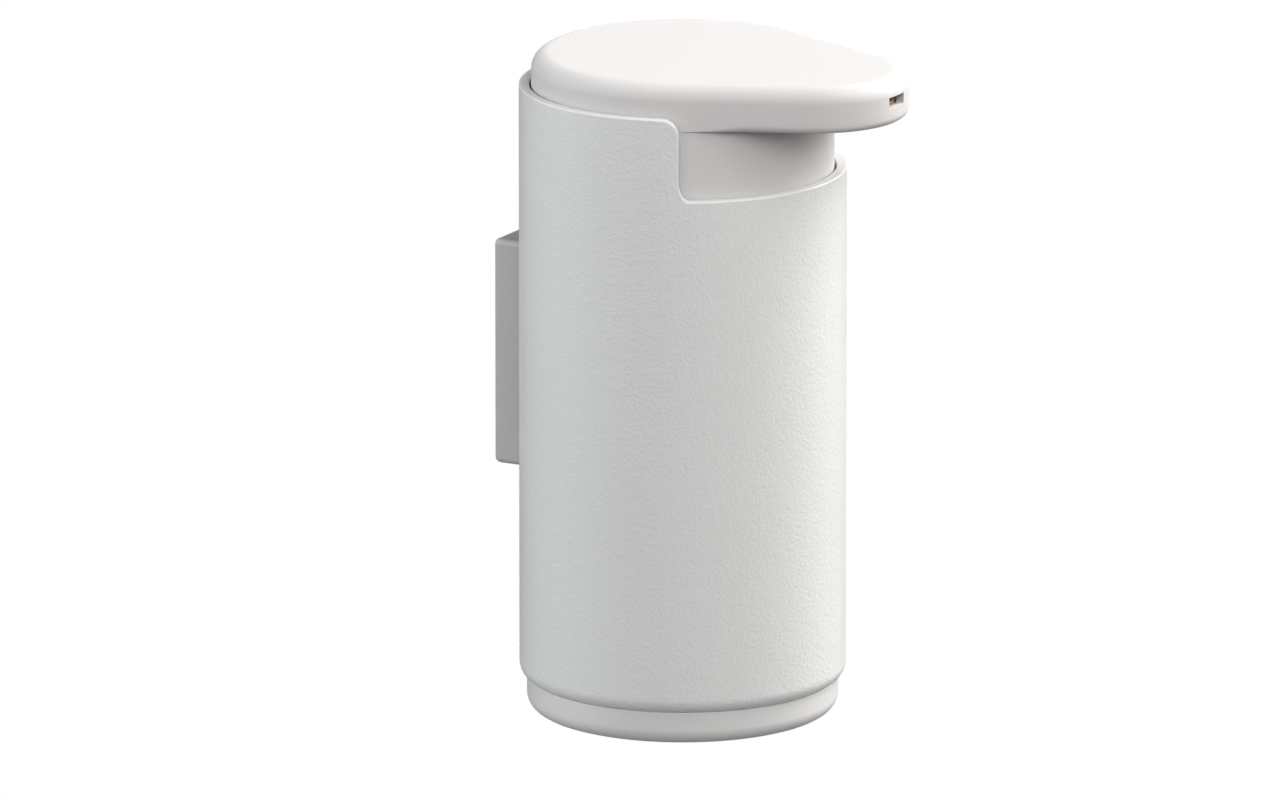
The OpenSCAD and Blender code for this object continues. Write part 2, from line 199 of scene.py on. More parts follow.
class Workpiece:
    """A mesh in the making, in millimetres from the dispenser's axis and foot."""

    def __init__(self, name: str) -> None:
        """Starts an empty workpiece with the piece's name."""
        self.name = name
        self.mesh = bmesh.new()

    def sheet(self, rows: Rows, closed: bool = False, both_sides: bool = False) -> "Workpiece":
        """Adds a skin of quads through rows of points.

        Args:
            rows: rows of points, each with the same number of points.
            closed: joins the last point of a row to its first.
            both_sides: adds the same skin mirrored to the other side of x = 0.

        Returns:
            This workpiece.
        """
        for side in (1, -1) if both_sides else (1,):
            knots = [[self.mesh.verts.new((side * x, y, z)) for x, y, z in row] for row in rows]
            for low, high in zip(knots, knots[1:]):
                span = len(low) if closed else len(low) - 1
                for i in range(span):
                    j = (i + 1) % len(low)
                    self.mesh.faces.new((low[i], low[j], high[j], high[i]))
        return self

    def tube(self, rows: Rows) -> "Workpiece":
        """Adds a closed skin through rows of points and shuts both ends.

        Args:
            rows: rows of points, each with the same number of points.

        Returns:
            This workpiece.
        """
        self.sheet(rows, closed=True)
        for end in (rows[0], rows[-1]):
            self.mesh.faces.new([self.mesh.verts.new(p) for p in end])
        return self

    def turned(
        self,
        profile: Sequence[Flat],
        segments: int = 96,
        axis: Axis = Axis.Z,
        centre: Flat = (0.0, 0.0),
    ) -> "Workpiece":
        """Adds a solid of revolution.

        Args:
            profile: closed section as radius and height.
            segments: number of facets round the axis.
            axis: direction of the axis.
            centre: where the axis passes, in the plane across it.

        Returns:
            This workpiece.
        """
        angles = ring(segments)
        for start, end in zip(profile, [*profile[1:], profile[0]]):
            if max(start[0], end[0]) < 1e-6:
                continue
            rows = []
            for radius, height in (start, end):
                row = []
                for a in angles:
                    across = centre[0] + radius * math.cos(a)
                    up = centre[1] + radius * math.sin(a)
                    row.append(axis.point(across, up, height))
                rows.append(row)
            self.sheet(rows, closed=True)
        return self

    def prism(self, outline: Sequence[Flat], near: float, far: float, axis: Axis) -> "Workpiece":
        """Adds a straight bar with the given section.

        Args:
            outline: closed section across the axis.
            near: where the bar starts along the axis.
            far: where it ends.
            axis: direction of the bar.

        Returns:
            This workpiece.
        """
        return self.tube([[axis.point(u, v, w) for u, v in outline] for w in (near, far)])

    def slab(self, low: Point, high: Point) -> "Workpiece":
        """Adds a block between two corners.

        Args:
            low: lowest corner.
            high: highest corner.

        Returns:
            This workpiece.
        """
        outline = [(low[0], low[1]), (high[0], low[1]), (high[0], high[1]), (low[0], high[1])]
        return self.prism(outline, low[2], high[2], Axis.Z)

    def tidy(self) -> "Workpiece":
        """Welds the skins together, drops what has no face and points every face outward."""
        bmesh.ops.remove_doubles(self.mesh, verts=self.mesh.verts, dist=0.001)
        bmesh.ops.dissolve_degenerate(self.mesh, edges=self.mesh.edges, dist=1e-5)
        wires = [edge for edge in self.mesh.edges if not edge.link_faces]
        bmesh.ops.delete(self.mesh, geom=wires, context="EDGES")
        loose = [vert for vert in self.mesh.verts if not vert.link_faces]
        bmesh.ops.delete(self.mesh, geom=loose, context="VERTS")
        bmesh.ops.recalc_face_normals(self.mesh, faces=self.mesh.faces)
        return self

    def combine(self, how: Join, others: Sequence["Workpiece"]) -> "Workpiece":
        """Cuts other workpieces out of this one or welds them on, and uses them up.

        Args:
            how: cut or weld.
            others: closed workpieces.

        Returns:
            This workpiece.
        """
        blank = self.tidy().scratch()
        tools = [other.tidy().scratch() for other in others]
        for tool in tools:
            step = blank.modifiers.new("step", "BOOLEAN")
            step.operation = how.value
            step.solver = "EXACT"
            step.object = tool
        graph = bpy.context.evaluated_depsgraph_get()
        result = bpy.data.meshes.new_from_object(blank.evaluated_get(graph))
        self.mesh = bmesh.new()
        self.mesh.from_mesh(result)
        bpy.data.meshes.remove(result)
        for used in (blank, *tools):
            skin = used.data
            bpy.data.objects.remove(used)
            bpy.data.meshes.remove(skin)
        return self

    def scratch(self) -> bpy.types.Object:
        """Hands the mesh to a scratch object in the scene, still in millimetres."""
        mesh = bpy.data.meshes.new(self.name)
        self.mesh.to_mesh(mesh)
        self.mesh.free()
        return add_object(self.name, mesh)

    def finish(self, datum: Datum, sharp: float) -> bpy.types.Object:
        """Places the mesh in the row frame and makes the final object.

        Args:
            datum: the dispenser's axis and foot.
            sharp: edges that turn more than this many degrees stay crisp.

        Returns:
            The object, smooth shaded.
        """
        self.tidy()
        for vert in self.mesh.verts:
            vert.co = datum.place(vert.co)
        made = self.scratch()
        made.data.shade_smooth()
        made.data.set_sharp_from_angle(angle=math.radians(sharp))
        shade_evenly(made)
        return made


class Graph:
    """Adds and joins the nodes of one material or one group."""

    def __init__(self, tree: bpy.types.NodeTree) -> None:
        """Keeps the node tree to work on."""
        self.tree = tree

    def node(
        self, kind: str, inputs: dict[str | int, Any] | None = None, **settings: Any
    ) -> bpy.types.Node:
        """Adds one node.

        Args:
            kind: the node's type.
            inputs: values or source sockets, by input name or index.
            **settings: the node's own properties.

        Returns:
            The node.
        """
        made = self.tree.nodes.new(kind)
        for key, value in settings.items():
            setattr(made, key, value)
        for key, value in (inputs or {}).items():
            if isinstance(value, bpy.types.NodeSocket):
                self.tree.links.new(value, made.inputs[key])
            else:
                made.inputs[key].default_value = value
        return made

    def math(self, operation: str, *values: Any) -> bpy.types.NodeSocket:
        """Adds a Math node.

        Args:
            operation: what it does.
            *values: numbers or sockets, in order.

        Returns:
            Its result.
        """
        made = self.node("ShaderNodeMath", dict(enumerate(values)), operation=operation)
        return made.outputs[0]

    def between(self, value: Any, start: tuple[Any, Any], end: Flat) -> bpy.types.NodeSocket:
        """Maps a value from one range to another and holds it there.

        Args:
            value: the socket to map.
            start: range it comes from.
            end: range it goes to.

        Returns:
            The mapped value.
        """
        sockets = {0: value, 1: start[0], 2: start[1], 3: end[0], 4: end[1]}
        return self.node("ShaderNodeMapRange", sockets, clamp=True).outputs[0]

    def noise(self, where: Any, scale: Any, detail: float, twist: float = 0.0) -> bpy.types.NodeSocket:
        """Adds a noise texture.

        Args:
            where: coordinates.
            scale: repeats per metre.
            detail: number of finer layers.
            twist: distortion.

        Returns:
            The noise value.
        """
        sockets = {"Vector": where, "Scale": scale, "Detail": detail, "Distortion": twist}
        return self.node("ShaderNodeTexNoise", sockets).outputs["Fac"]

    def here(self) -> bpy.types.NodeSocket:
        """The shaded point in the piece's own coordinates, in metres."""
        return self.node("ShaderNodeTexCoord").outputs["Object"]


class EffectGroup:
    """A shared effect with named inputs and outputs, built once."""

    def __init__(
        self,
        name: str,
        numbers: dict[str, float],
        colours: Sequence[str],
        results: dict[str, str],
        fill: Callable[[Graph, Any, Any], None],
    ) -> None:
        """Builds the group.

        Args:
            name: the group's name.
            numbers: number inputs with their usual values.
            colours: names of the colour inputs.
            results: output names and their socket types.
            fill: adds the nodes between the inputs and the outputs.
        """
        self.tree = bpy.data.node_groups.new(name, "ShaderNodeTree")
        sockets = self.tree.interface
        for label in colours:
            sockets.new_socket(name=label, in_out="INPUT", socket_type="NodeSocketColor")
        for label, value in numbers.items():
            made = sockets.new_socket(name=label, in_out="INPUT", socket_type="NodeSocketFloat")
            made.default_value = value
        for label, kind in results.items():
            sockets.new_socket(name=label, in_out="OUTPUT", socket_type=kind)
        graph = Graph(self.tree)
        given = graph.node("NodeGroupInput")
        handed_on = graph.node("NodeGroupOutput")
        fill(graph, given.outputs, handed_on.inputs)

    def use(self, graph: Graph, **values: Any) -> Any:
        """Places the group in a material.

        Args:
            graph: the material's graph.
            **values: input values or sockets, with _ for a space in their names.

        Returns:
            The group node's outputs.
        """
        inputs = {key.replace("_", " "): value for key, value in values.items()}
        return graph.node("ShaderNodeGroup", inputs, node_tree=self.tree).outputs


class Effects:
    """The effects that several finishes share."""

    def __init__(self) -> None:
        """Builds every group."""
        number = "NodeSocketFloat"
        self.peel = EffectGroup(
            "coat_peel", {"Grain mm": 0.45}, (), {"Height": number}, self.fill_peel
        )
        self.drift = EffectGroup(
            "tone_drift",
            {"Amount": 0.03, "Patch mm": 30.0},
            ("Base",),
            {"Colour": "NodeSocketColor"},
            self.fill_drift,
        )
        self.rubbed = EffectGroup(
            "handled_gloss",
            {"Base": 0.4, "Spread": 0.08, "Patch mm": 12.0},
            (),
            {"Roughness": number},
            self.fill_rubbed,
        )
        # raised edges: a mask that the coat uses to paint edges paler, partly as wear and partly as a
        # painted highlight
        self.edges = EffectGroup(
            "edge_wear_and_painted_highlight", {"Start": 0.53, "End": 0.6}, (), {"Mask": number}, self.fill_edges
        )
        self.brushed = EffectGroup(
            "brushed_lines", {"Line mm": 0.12}, (), {"Height": number, "Mask": number}, self.fill_brushed
        )

    @staticmethod
    def per_metre(graph: Graph, size: Any) -> bpy.types.NodeSocket:
        """Turns a size in millimetres into repeats per metre.

        Args:
            graph: the group's graph.
            size: the size's socket.

        Returns:
            The scale's socket.
        """
        return graph.math("DIVIDE", 1000.0, size)

    def fill_peel(self, graph: Graph, given: Any, result: Any) -> None:
        """Orange peel: soft bumps of one size with a little finer and coarser unevenness.

        Args:
            graph: the group's graph.
            given: the group's inputs.
            result: the group's outputs.
        """
        where = graph.here()
        scale = self.per_metre(graph, given["Grain mm"])
        main = graph.noise(where, scale, 1.0)
        fine = graph.noise(where, graph.math("MULTIPLY", scale, 2.3), 1.0)
        broad = graph.noise(where, graph.math("MULTIPLY", scale, 0.22), 1.0)
        both = graph.math("MULTIPLY_ADD", fine, 0.35, main)
        total = graph.math("MULTIPLY_ADD", broad, 0.5, both)
        graph.tree.links.new(total, result["Height"])

    def fill_drift(self, graph: Graph, given: Any, result: Any) -> None:
        """Slow change of tone from place to place.

        Args:
            graph: the group's graph.
            given: the group's inputs.
            result: the group's outputs.
        """
        scale = self.per_metre(graph, given["Patch mm"])
        patches = graph.noise(graph.here(), scale, 3.0)
        centred = graph.math("SUBTRACT", patches, 0.5)
        factor = graph.math("MULTIPLY_ADD", centred, graph.math("MULTIPLY", given["Amount"], 2.0), 1.0)
        scaled = graph.node(
            "ShaderNodeVectorMath", {0: given["Base"], "Scale": factor}, operation="SCALE"
        )
        graph.tree.links.new(scaled.outputs["Vector"], result["Colour"])

    def fill_rubbed(self, graph: Graph, given: Any, result: Any) -> None:
        """Gloss that changes a little where hands and cloths have been.

        Args:
            graph: the group's graph.
            given: the group's inputs.
            result: the group's outputs.
        """
        where = graph.here()
        scale = self.per_metre(graph, given["Patch mm"])
        patches = graph.noise(where, scale, 4.0, 0.6)
        specks = graph.noise(where, graph.math("MULTIPLY", scale, 9.0), 2.0)
        mixed = graph.math("MULTIPLY_ADD", specks, 0.3, patches)
        centred = graph.math("SUBTRACT", mixed, 0.65)
        swing = graph.math("MULTIPLY", given["Spread"], 2.0)
        rough = graph.math("MULTIPLY_ADD", centred, swing, given["Base"])
        graph.tree.links.new(rough, result["Roughness"])

    def fill_edges(self, graph: Graph, given: Any, result: Any) -> None:
        """Mask of raised edges, broken up as wear is; the coat paints these edges paler, partly as wear and
        partly as a painted highlight.

        Args:
            graph: the group's graph.
            given: the group's inputs.
            result: the group's outputs.
        """
        bend = graph.node("ShaderNodeNewGeometry").outputs["Pointiness"]
        edge = graph.between(bend, (given["Start"], given["End"]), (0.0, 1.0))
        chips = graph.between(graph.noise(graph.here(), 900.0, 3.0), (0.35, 0.6), (0.0, 1.0))
        graph.tree.links.new(graph.math("MULTIPLY", edge, chips), result["Mask"])

    def fill_brushed(self, graph: Graph, given: Any, result: Any) -> None:
        """Long fine lines left by a brushing belt, running up and down.

        Args:
            graph: the group's graph.
            given: the group's inputs.
            result: the group's outputs.
        """
        sockets = {"Vector": graph.here(), "Scale": (1.0, 1.0, 0.02)}
        stretched = graph.node("ShaderNodeMapping", sockets).outputs[0]
        scale = self.per_metre(graph, given["Line mm"])
        lines = graph.noise(stretched, scale, 3.0)
        mask = graph.between(lines, (0.4, 0.65), (0.0, 1.0))
        graph.tree.links.new(lines, result["Height"])
        graph.tree.links.new(mask, result["Mask"])


def new_material(name: str) -> tuple[bpy.types.Material, Graph, bpy.types.Node]:
    """Starts a material with its surface shader.

    Args:
        name: the material's name.

    Returns:
        The material, its graph and its shader node.
    """
    made = bpy.data.materials.new(name)
    made.use_nodes = True
    graph = Graph(made.node_tree)
    graph.tree.nodes.clear()
    shader = graph.node("ShaderNodeBsdfPrincipled")
    graph.node("ShaderNodeOutputMaterial", {"Surface": shader.outputs[0]})
    return made, graph, shader


def join_surface(
    graph: Graph, shader: bpy.types.Node, colour: Any, rough: Any, height: Any, relief_mm: float
) -> None:
    """Joins colour, roughness and relief to a surface shader.

    Args:
        graph: the material's graph.
        shader: its surface shader.
        colour: the colour's socket.
        rough: the roughness's socket.
        height: the relief's socket, from 0 to 1.
        relief_mm: how deep the relief is.
    """
    bump = graph.node("ShaderNodeBump", {"Strength": 1.0, "Distance": relief_mm * MM, "Height": height})
    for label, source in (("Base Color", colour), ("Roughness", rough), ("Normal", bump.outputs[0])):
        graph.tree.links.new(source, shader.inputs[label])


@dataclass(frozen=True)
class PowderCoat:
    """Baked powder paint on metal, with a fine orange-peel surface."""

    name: str
    tone: Colour
    grain_mm: float = 0.74
    relief_mm: float = 0.105
    roughness: float = 0.36
    level: float = 0.5

    def make(self, effects: Effects) -> bpy.types.Material:
        """Builds the material.

        Args:
            effects: the shared effects.

        Returns:
            The material.
        """
        made, graph, shader = new_material(self.name)
        colour = effects.drift.use(graph, Base=self.tone, Amount=0.012, Patch_mm=25.0)["Colour"]
        # raised edges are painted paler: partly wear, partly a painted highlight along the rims
        edge_wear_and_highlight = effects.edges.use(graph, Start=0.55, End=0.7)["Mask"]
        pale = graph.node(
            "ShaderNodeMix",
            {0: graph.math("MULTIPLY", edge_wear_and_highlight, 0.12), 6: colour, 7: (0.86, 0.86, 0.85, 1.0)},
            data_type="RGBA",
        )
        rough = effects.rubbed.use(graph, Base=self.roughness, Spread=0.05, Patch_mm=18.0)["Roughness"]
        height = effects.peel.use(graph, Grain_mm=self.grain_mm)["Height"]
        shader.inputs["Specular IOR Level"].default_value = self.level
        join_surface(graph, shader, pale.outputs[2], rough, height, self.relief_mm)
        return made


@dataclass(frozen=True)
class MouldedPlastic:
    """Injection-moulded plastic with a soft satin skin."""

    name: str
    tone: Colour
    roughness: float = 0.38
    spread: float = 0.05
    grain_mm: float = 0.12
    relief_mm: float = 0.0012
    milky: float = 0.0
    level: float = 0.5

    def make(self, effects: Effects) -> bpy.types.Material:
        """Builds the material.

        Args:
            effects: the shared effects.

        Returns:
            The material.
        """
        made, graph, shader = new_material(self.name)
        colour = effects.drift.use(graph, Base=self.tone, Amount=0.01, Patch_mm=14.0)["Colour"]
        rough = effects.rubbed.use(
            graph, Base=self.roughness, Spread=self.spread, Patch_mm=9.0
        )["Roughness"]
        height = effects.peel.use(graph, Grain_mm=self.grain_mm)["Height"]
        shader.inputs["Specular IOR Level"].default_value = self.level
        shader.inputs["Subsurface Weight"].default_value = self.milky
        shader.inputs["Subsurface Radius"].default_value = (0.003, 0.0026, 0.002)
        shader.inputs["Subsurface Scale"].default_value = 1.0
        join_surface(graph, shader, colour, rough, height, self.relief_mm)
        return made


@dataclass(frozen=True)
class SealRubber:
    """Matt silicone rubber that holds a little dust."""

    name: str
    tone: Colour
    dust: Colour = (0.62, 0.6, 0.56, 1.0)
    relief_mm: float = 0.004

    def make(self, effects: Effects) -> bpy.types.Material:
        """Builds the material.

        Args:
            effects: the shared effects.

        Returns:
            The material.
        """
        made, graph, shader = new_material(self.name)
        specks = graph.between(graph.noise(graph.here(), 1400.0, 4.0), (0.56, 0.72), (0.0, 0.25))
        colour = graph.node("ShaderNodeMix", {0: specks, 6: self.tone, 7: self.dust}, data_type="RGBA")
        rough = effects.rubbed.use(graph, Base=0.62, Spread=0.1, Patch_mm=4.0)["Roughness"]
        height = effects.peel.use(graph, Grain_mm=0.2)["Height"]
        shader.inputs["Sheen Weight"].default_value = 0.15
        join_surface(graph, shader, colour.outputs[2], rough, height, self.relief_mm)
        return made


@dataclass(frozen=True)
class Steel:
    """Bare stainless steel, brushed or polished."""

    name: str
    tone: Colour
    roughness: float = 0.3
    brush_mm: float = 0.12
    relief_mm: float = 0.004

    def make(self, effects: Effects) -> bpy.types.Material:
        """Builds the material.

        Args:
            effects: the shared effects.

        Returns:
            The material.
        """
        made, graph, shader = new_material(self.name)
        lines = effects.brushed.use(graph, Line_mm=self.brush_mm)
        base = effects.drift.use(graph, Base=self.tone, Amount=0.04, Patch_mm=8.0)["Colour"]
        bright = graph.node(
            "ShaderNodeMix",
            {0: graph.math("MULTIPLY", lines["Mask"], 0.3), 6: base, 7: (0.82, 0.82, 0.83, 1.0)},
            data_type="RGBA",
        )
        rubbed = effects.rubbed.use(graph, Base=self.roughness, Spread=0.08, Patch_mm=6.0)["Roughness"]
        rough = graph.math("MULTIPLY_ADD", lines["Mask"], 0.06, rubbed)
        shader.inputs["Metallic"].default_value = 1.0
        join_surface(graph, shader, bright.outputs[2], rough, lines["Height"], self.relief_mm)
        return made


class Finishes:
    """Every finish, by the record's material slot."""

    def __init__(self, effects: Effects) -> None:
        """Builds the materials.

        Args:
            effects: the shared effects.
        """
        shades = {
            "sleeve_coat": PowderCoat("sleeve_coat_finish", (0.75, 0.75, 0.745, 1.0)),
            "head_plastic": MouldedPlastic(
                "head_finish", (0.632, 0.616, 0.61, 1.0), roughness=0.62, level=0.22
            ),
            "base_plastic": MouldedPlastic("foot_finish", (0.7, 0.695, 0.69, 1.0), roughness=0.44),
            "container_plastic": MouldedPlastic(
                "container_finish", (0.8, 0.8, 0.77, 1.0), roughness=0.3, milky=0.25
            ),
            "pump_plastic": MouldedPlastic("pump_finish", (0.76, 0.76, 0.75, 1.0), roughness=0.33),
            "tube_plastic": MouldedPlastic(
                "tube_finish", (0.78, 0.79, 0.77, 1.0), roughness=0.22, milky=0.4
            ),
            "duct_plastic": MouldedPlastic("duct_finish", (0.8, 0.62, 0.48, 1.0), roughness=0.5),
            "seal_rubber": SealRubber("seal_finish", (0.09, 0.09, 0.095, 1.0)),
            "plate_steel": Steel("plate_finish", (0.62, 0.62, 0.63, 1.0)),
            "screw_steel": Steel("screw_finish", (0.58, 0.58, 0.6, 1.0), roughness=0.24),
            "ball_steel": Steel("ball_finish", (0.7, 0.7, 0.71, 1.0), roughness=0.08, relief_mm=0.0005),
            "spring_steel": Steel("spring_finish", (0.6, 0.6, 0.62, 1.0), roughness=0.2, brush_mm=0.3),
        }
        self.by_slot = {slot: shade.make(effects) for slot, shade in shades.items()}
        # the mount block has the sleeve's own coat; this darker copy is painted shade for the block's side
        # that faces away from the lamps
        self.painted_shade_coat = PowderCoat("block_coat_painted_shade", (0.46, 0.455, 0.452, 1.0)).make(effects)


@dataclass(frozen=True)
class Bench:
    """What every sub-assembly needs to place and dress its pieces."""

    datum: Datum
    finishes: Finishes

    def fit_piece(
        self, work: Workpiece, body: str, slot: str, nodes: Sequence[str], sharp: float = 38.0
    ) -> bpy.types.Object:
        """Places a workpiece, dresses it and lets it stand for its CAD nodes.

        Args:
            work: the workpiece.
            body: the body it moves with.
            slot: the record's material slot.
            nodes: the CAD nodes it replaces.
            sharp: edges that turn more than this many degrees stay crisp.

        Returns:
            The piece.
        """
        made = work.finish(self.datum, sharp)
        made.data.materials.append(self.finishes.by_slot[slot])
        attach(made, body)
        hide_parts(*nodes)
        LOG.info("%s: %d faces, rides on %s", made.name, len(made.data.polygons), body)
        return made

    def dress_node(self, node: str, slot: str, edge_mm: float = 0.0, angle: float = 32.0) -> None:
        """Gives a CAD node that stays its finish, and eases its edges.

        Args:
            node: the CAD node.
            slot: the record's material slot.
            edge_mm: width of the eased edges.
            angle: edges that turn more than this many degrees are eased.
        """
        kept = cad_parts[node]
        if not kept.material_slots:
            kept.data.materials.append(None)
        for place in kept.material_slots:
            place.material = self.finishes.by_slot[slot]
        weld = kept.modifiers.new("weld", "WELD")
        weld.merge_threshold = 0.002 * MM
        if edge_mm > 0:
            # flat faces are joined first, so that easing the edges can't fold thin triangles over
            flats = kept.modifiers.new("merge_flats", "DECIMATE")
            flats.decimate_type = "DISSOLVE"
            flats.angle_limit = math.radians(0.5)
            ease = kept.modifiers.new("ease_edges", "BEVEL")
            ease.width = edge_mm * MM
            ease.segments = 3
            ease.limit_method = "ANGLE"
            ease.angle_limit = math.radians(angle)
        shade_evenly(kept)
        LOG.info("%s: kept, finish %s", node, slot)


@dataclass
class WallMount:
    """The wall plate, the block that slides down over it, and the two screws in the block."""

    bench: Bench
    screw_heights: Flat = (56.8, 95.8)
    screw_start: float = 32.8
    screw_length: float = 4.5
    head_radius: float = 2.8
    shank_radius: float = 1.5
    recess_flat: float = 2.0
    recess_depth: float = 1.2
    thread_pitch: float = 0.5
    block_half: float = 12.0
    block_bottom: float = 51.6
    block_top: float = 101.0
    block_back: float = 39.9
    block_front: float = 35.05
    block_corner: float = 1.8
    block_edge: float = 1.2
    wall_plane: float = 40.2
    pocket_front: float = 8.2
    pocket_back: float = 6.6
    pocket_depth: float = 2.8
    pocket_top: float = 90.65
    least_corner: float = 0.15
    front_steps: int = 24
    corner_steps: int = 5
    hole_start: float = 33.0
    hole_fit: float = 0.05
    hole_spare: float = 0.5
    hole_segments: int = 40
    overcut: float = 1.0

    def build(self) -> None:
        """Makes and dresses the mount."""
        self.bench.dress_node("wall_plate", "plate_steel", edge_mm=0.25)
        self.make_block()
        self.make_screws()

    def block_outline(self, inset: float) -> list[Flat]:
        """The block in plan: straight sides and back, and a front that hugs the sleeve.

        Args:
            inset: how far the sides and the back stand in.

        Returns:
            The closed outline.
        """
        half = self.block_half - inset
        back = self.block_back - inset
        corner = max(self.least_corner, self.block_corner - inset)
        path = []
        for x in spread(-half, half, self.front_steps):
            path.append((x, math.sqrt(self.block_front**2 - x**2)))
        for side, first in ((1, 0), (-1, 90)):
            for a in spread(first, first + 90, self.corner_steps):
                cos, sin = cos_sin(a)
                path.append((side * (half - corner) + corner * cos, back - corner + corner * sin))
        return path

    def make_block(self) -> None:
        """Makes the block with rounded edges, its dovetail pocket and the two screw holes."""
        rows = []
        quarter = math.pi / 2
        for level, way, first in ((self.block_bottom, 1, 0.0), (self.block_top, -1, quarter)):
            for a in spread(first, quarter - first, self.corner_steps):
                inset = self.block_edge * (1 - math.sin(a))
                height = level + way * self.block_edge * (1 - math.cos(a))
                rows.append([(x, y, height) for x, y in self.block_outline(inset)])
        made = Workpiece("mount_body").tube(rows)
        wall, deep = self.wall_plane, self.wall_plane - self.pocket_depth
        slope = (self.pocket_front - self.pocket_back) / self.pocket_depth
        wide = self.pocket_back - slope
        mouth = wall + self.overcut
        pocket = [(-wide, mouth), (wide, mouth), (self.pocket_front, deep), (-self.pocket_front, deep)]
        start = self.block_bottom - self.overcut
        tools = [Workpiece("pocket").prism(pocket, start, self.pocket_top, Axis.Z)]
        radius = self.shank_radius + self.hole_fit
        near, far = self.hole_start, self.screw_start + self.screw_length + self.hole_spare
        for height in self.screw_heights:
            hole = [(0.0, near), (radius, near), (radius, far), (0.0, far)]
            tools.append(Workpiece("hole").turned(hole, self.hole_segments, Axis.Y, (0.0, height)))
        made.combine(Join.CUT, tools)
        piece = self.bench.fit_piece(made, "dispenser", "sleeve_coat", ["mount_block"])
        # the block takes the darker copy of the sleeve's coat, which is painted shade
        piece.data.materials[0] = self.bench.finishes.painted_shade_coat

    def screw_profile(self) -> list[Flat]:
        """Section of a countersunk screw with a cut thread, along its own axis."""
        start = self.screw_start
        sink = self.head_radius - self.shank_radius
        path = [(0.0, start), (self.head_radius, start), (self.shank_radius, start + sink)]
        along = start + sink + 0.2
        while along < start + self.screw_length - 0.5:
            path.append((self.shank_radius, along))
            path.append((self.shank_radius - 0.22, along + self.thread_pitch / 2))
            along += self.thread_pitch
        end = start + self.screw_length
        path += [(self.shank_radius - 0.3, end - 0.1), (self.shank_radius - 0.5, end), (0.0, end)]
        return path

    def make_screws(self) -> None:
        """Makes both screws, each with a hexagon recess."""
        made = Workpiece("block_screw_pair")
        tools = []
        across = self.recess_flat / math.sqrt(3)
        for height in self.screw_heights:
            made.turned(self.screw_profile(), 48, Axis.Y, (0.0, height))
            hexagon = [(across * math.cos(a), height + across * math.sin(a)) for a in ring(6)]
            start = self.screw_start
            tool = Workpiece("hex_key")
            tool.prism(hexagon, start - 1, start + self.recess_depth, Axis.Y)
            tools.append(tool)
        made.combine(Join.CUT, tools)
        self.bench.fit_piece(made, "dispenser", "screw_steel", ["block_screws"])


@dataclass(frozen=True)
class RimKnot:
    """A point on the sleeve's upper edge: arc length from the front, height and open direction."""

    run: float
    height: float
    open_run: float
    open_height: float

    def inward(self, offset: float) -> Flat:
        """The point this far from the edge, into the metal."""
        return (self.run - offset * self.open_run, self.height - offset * self.open_height)


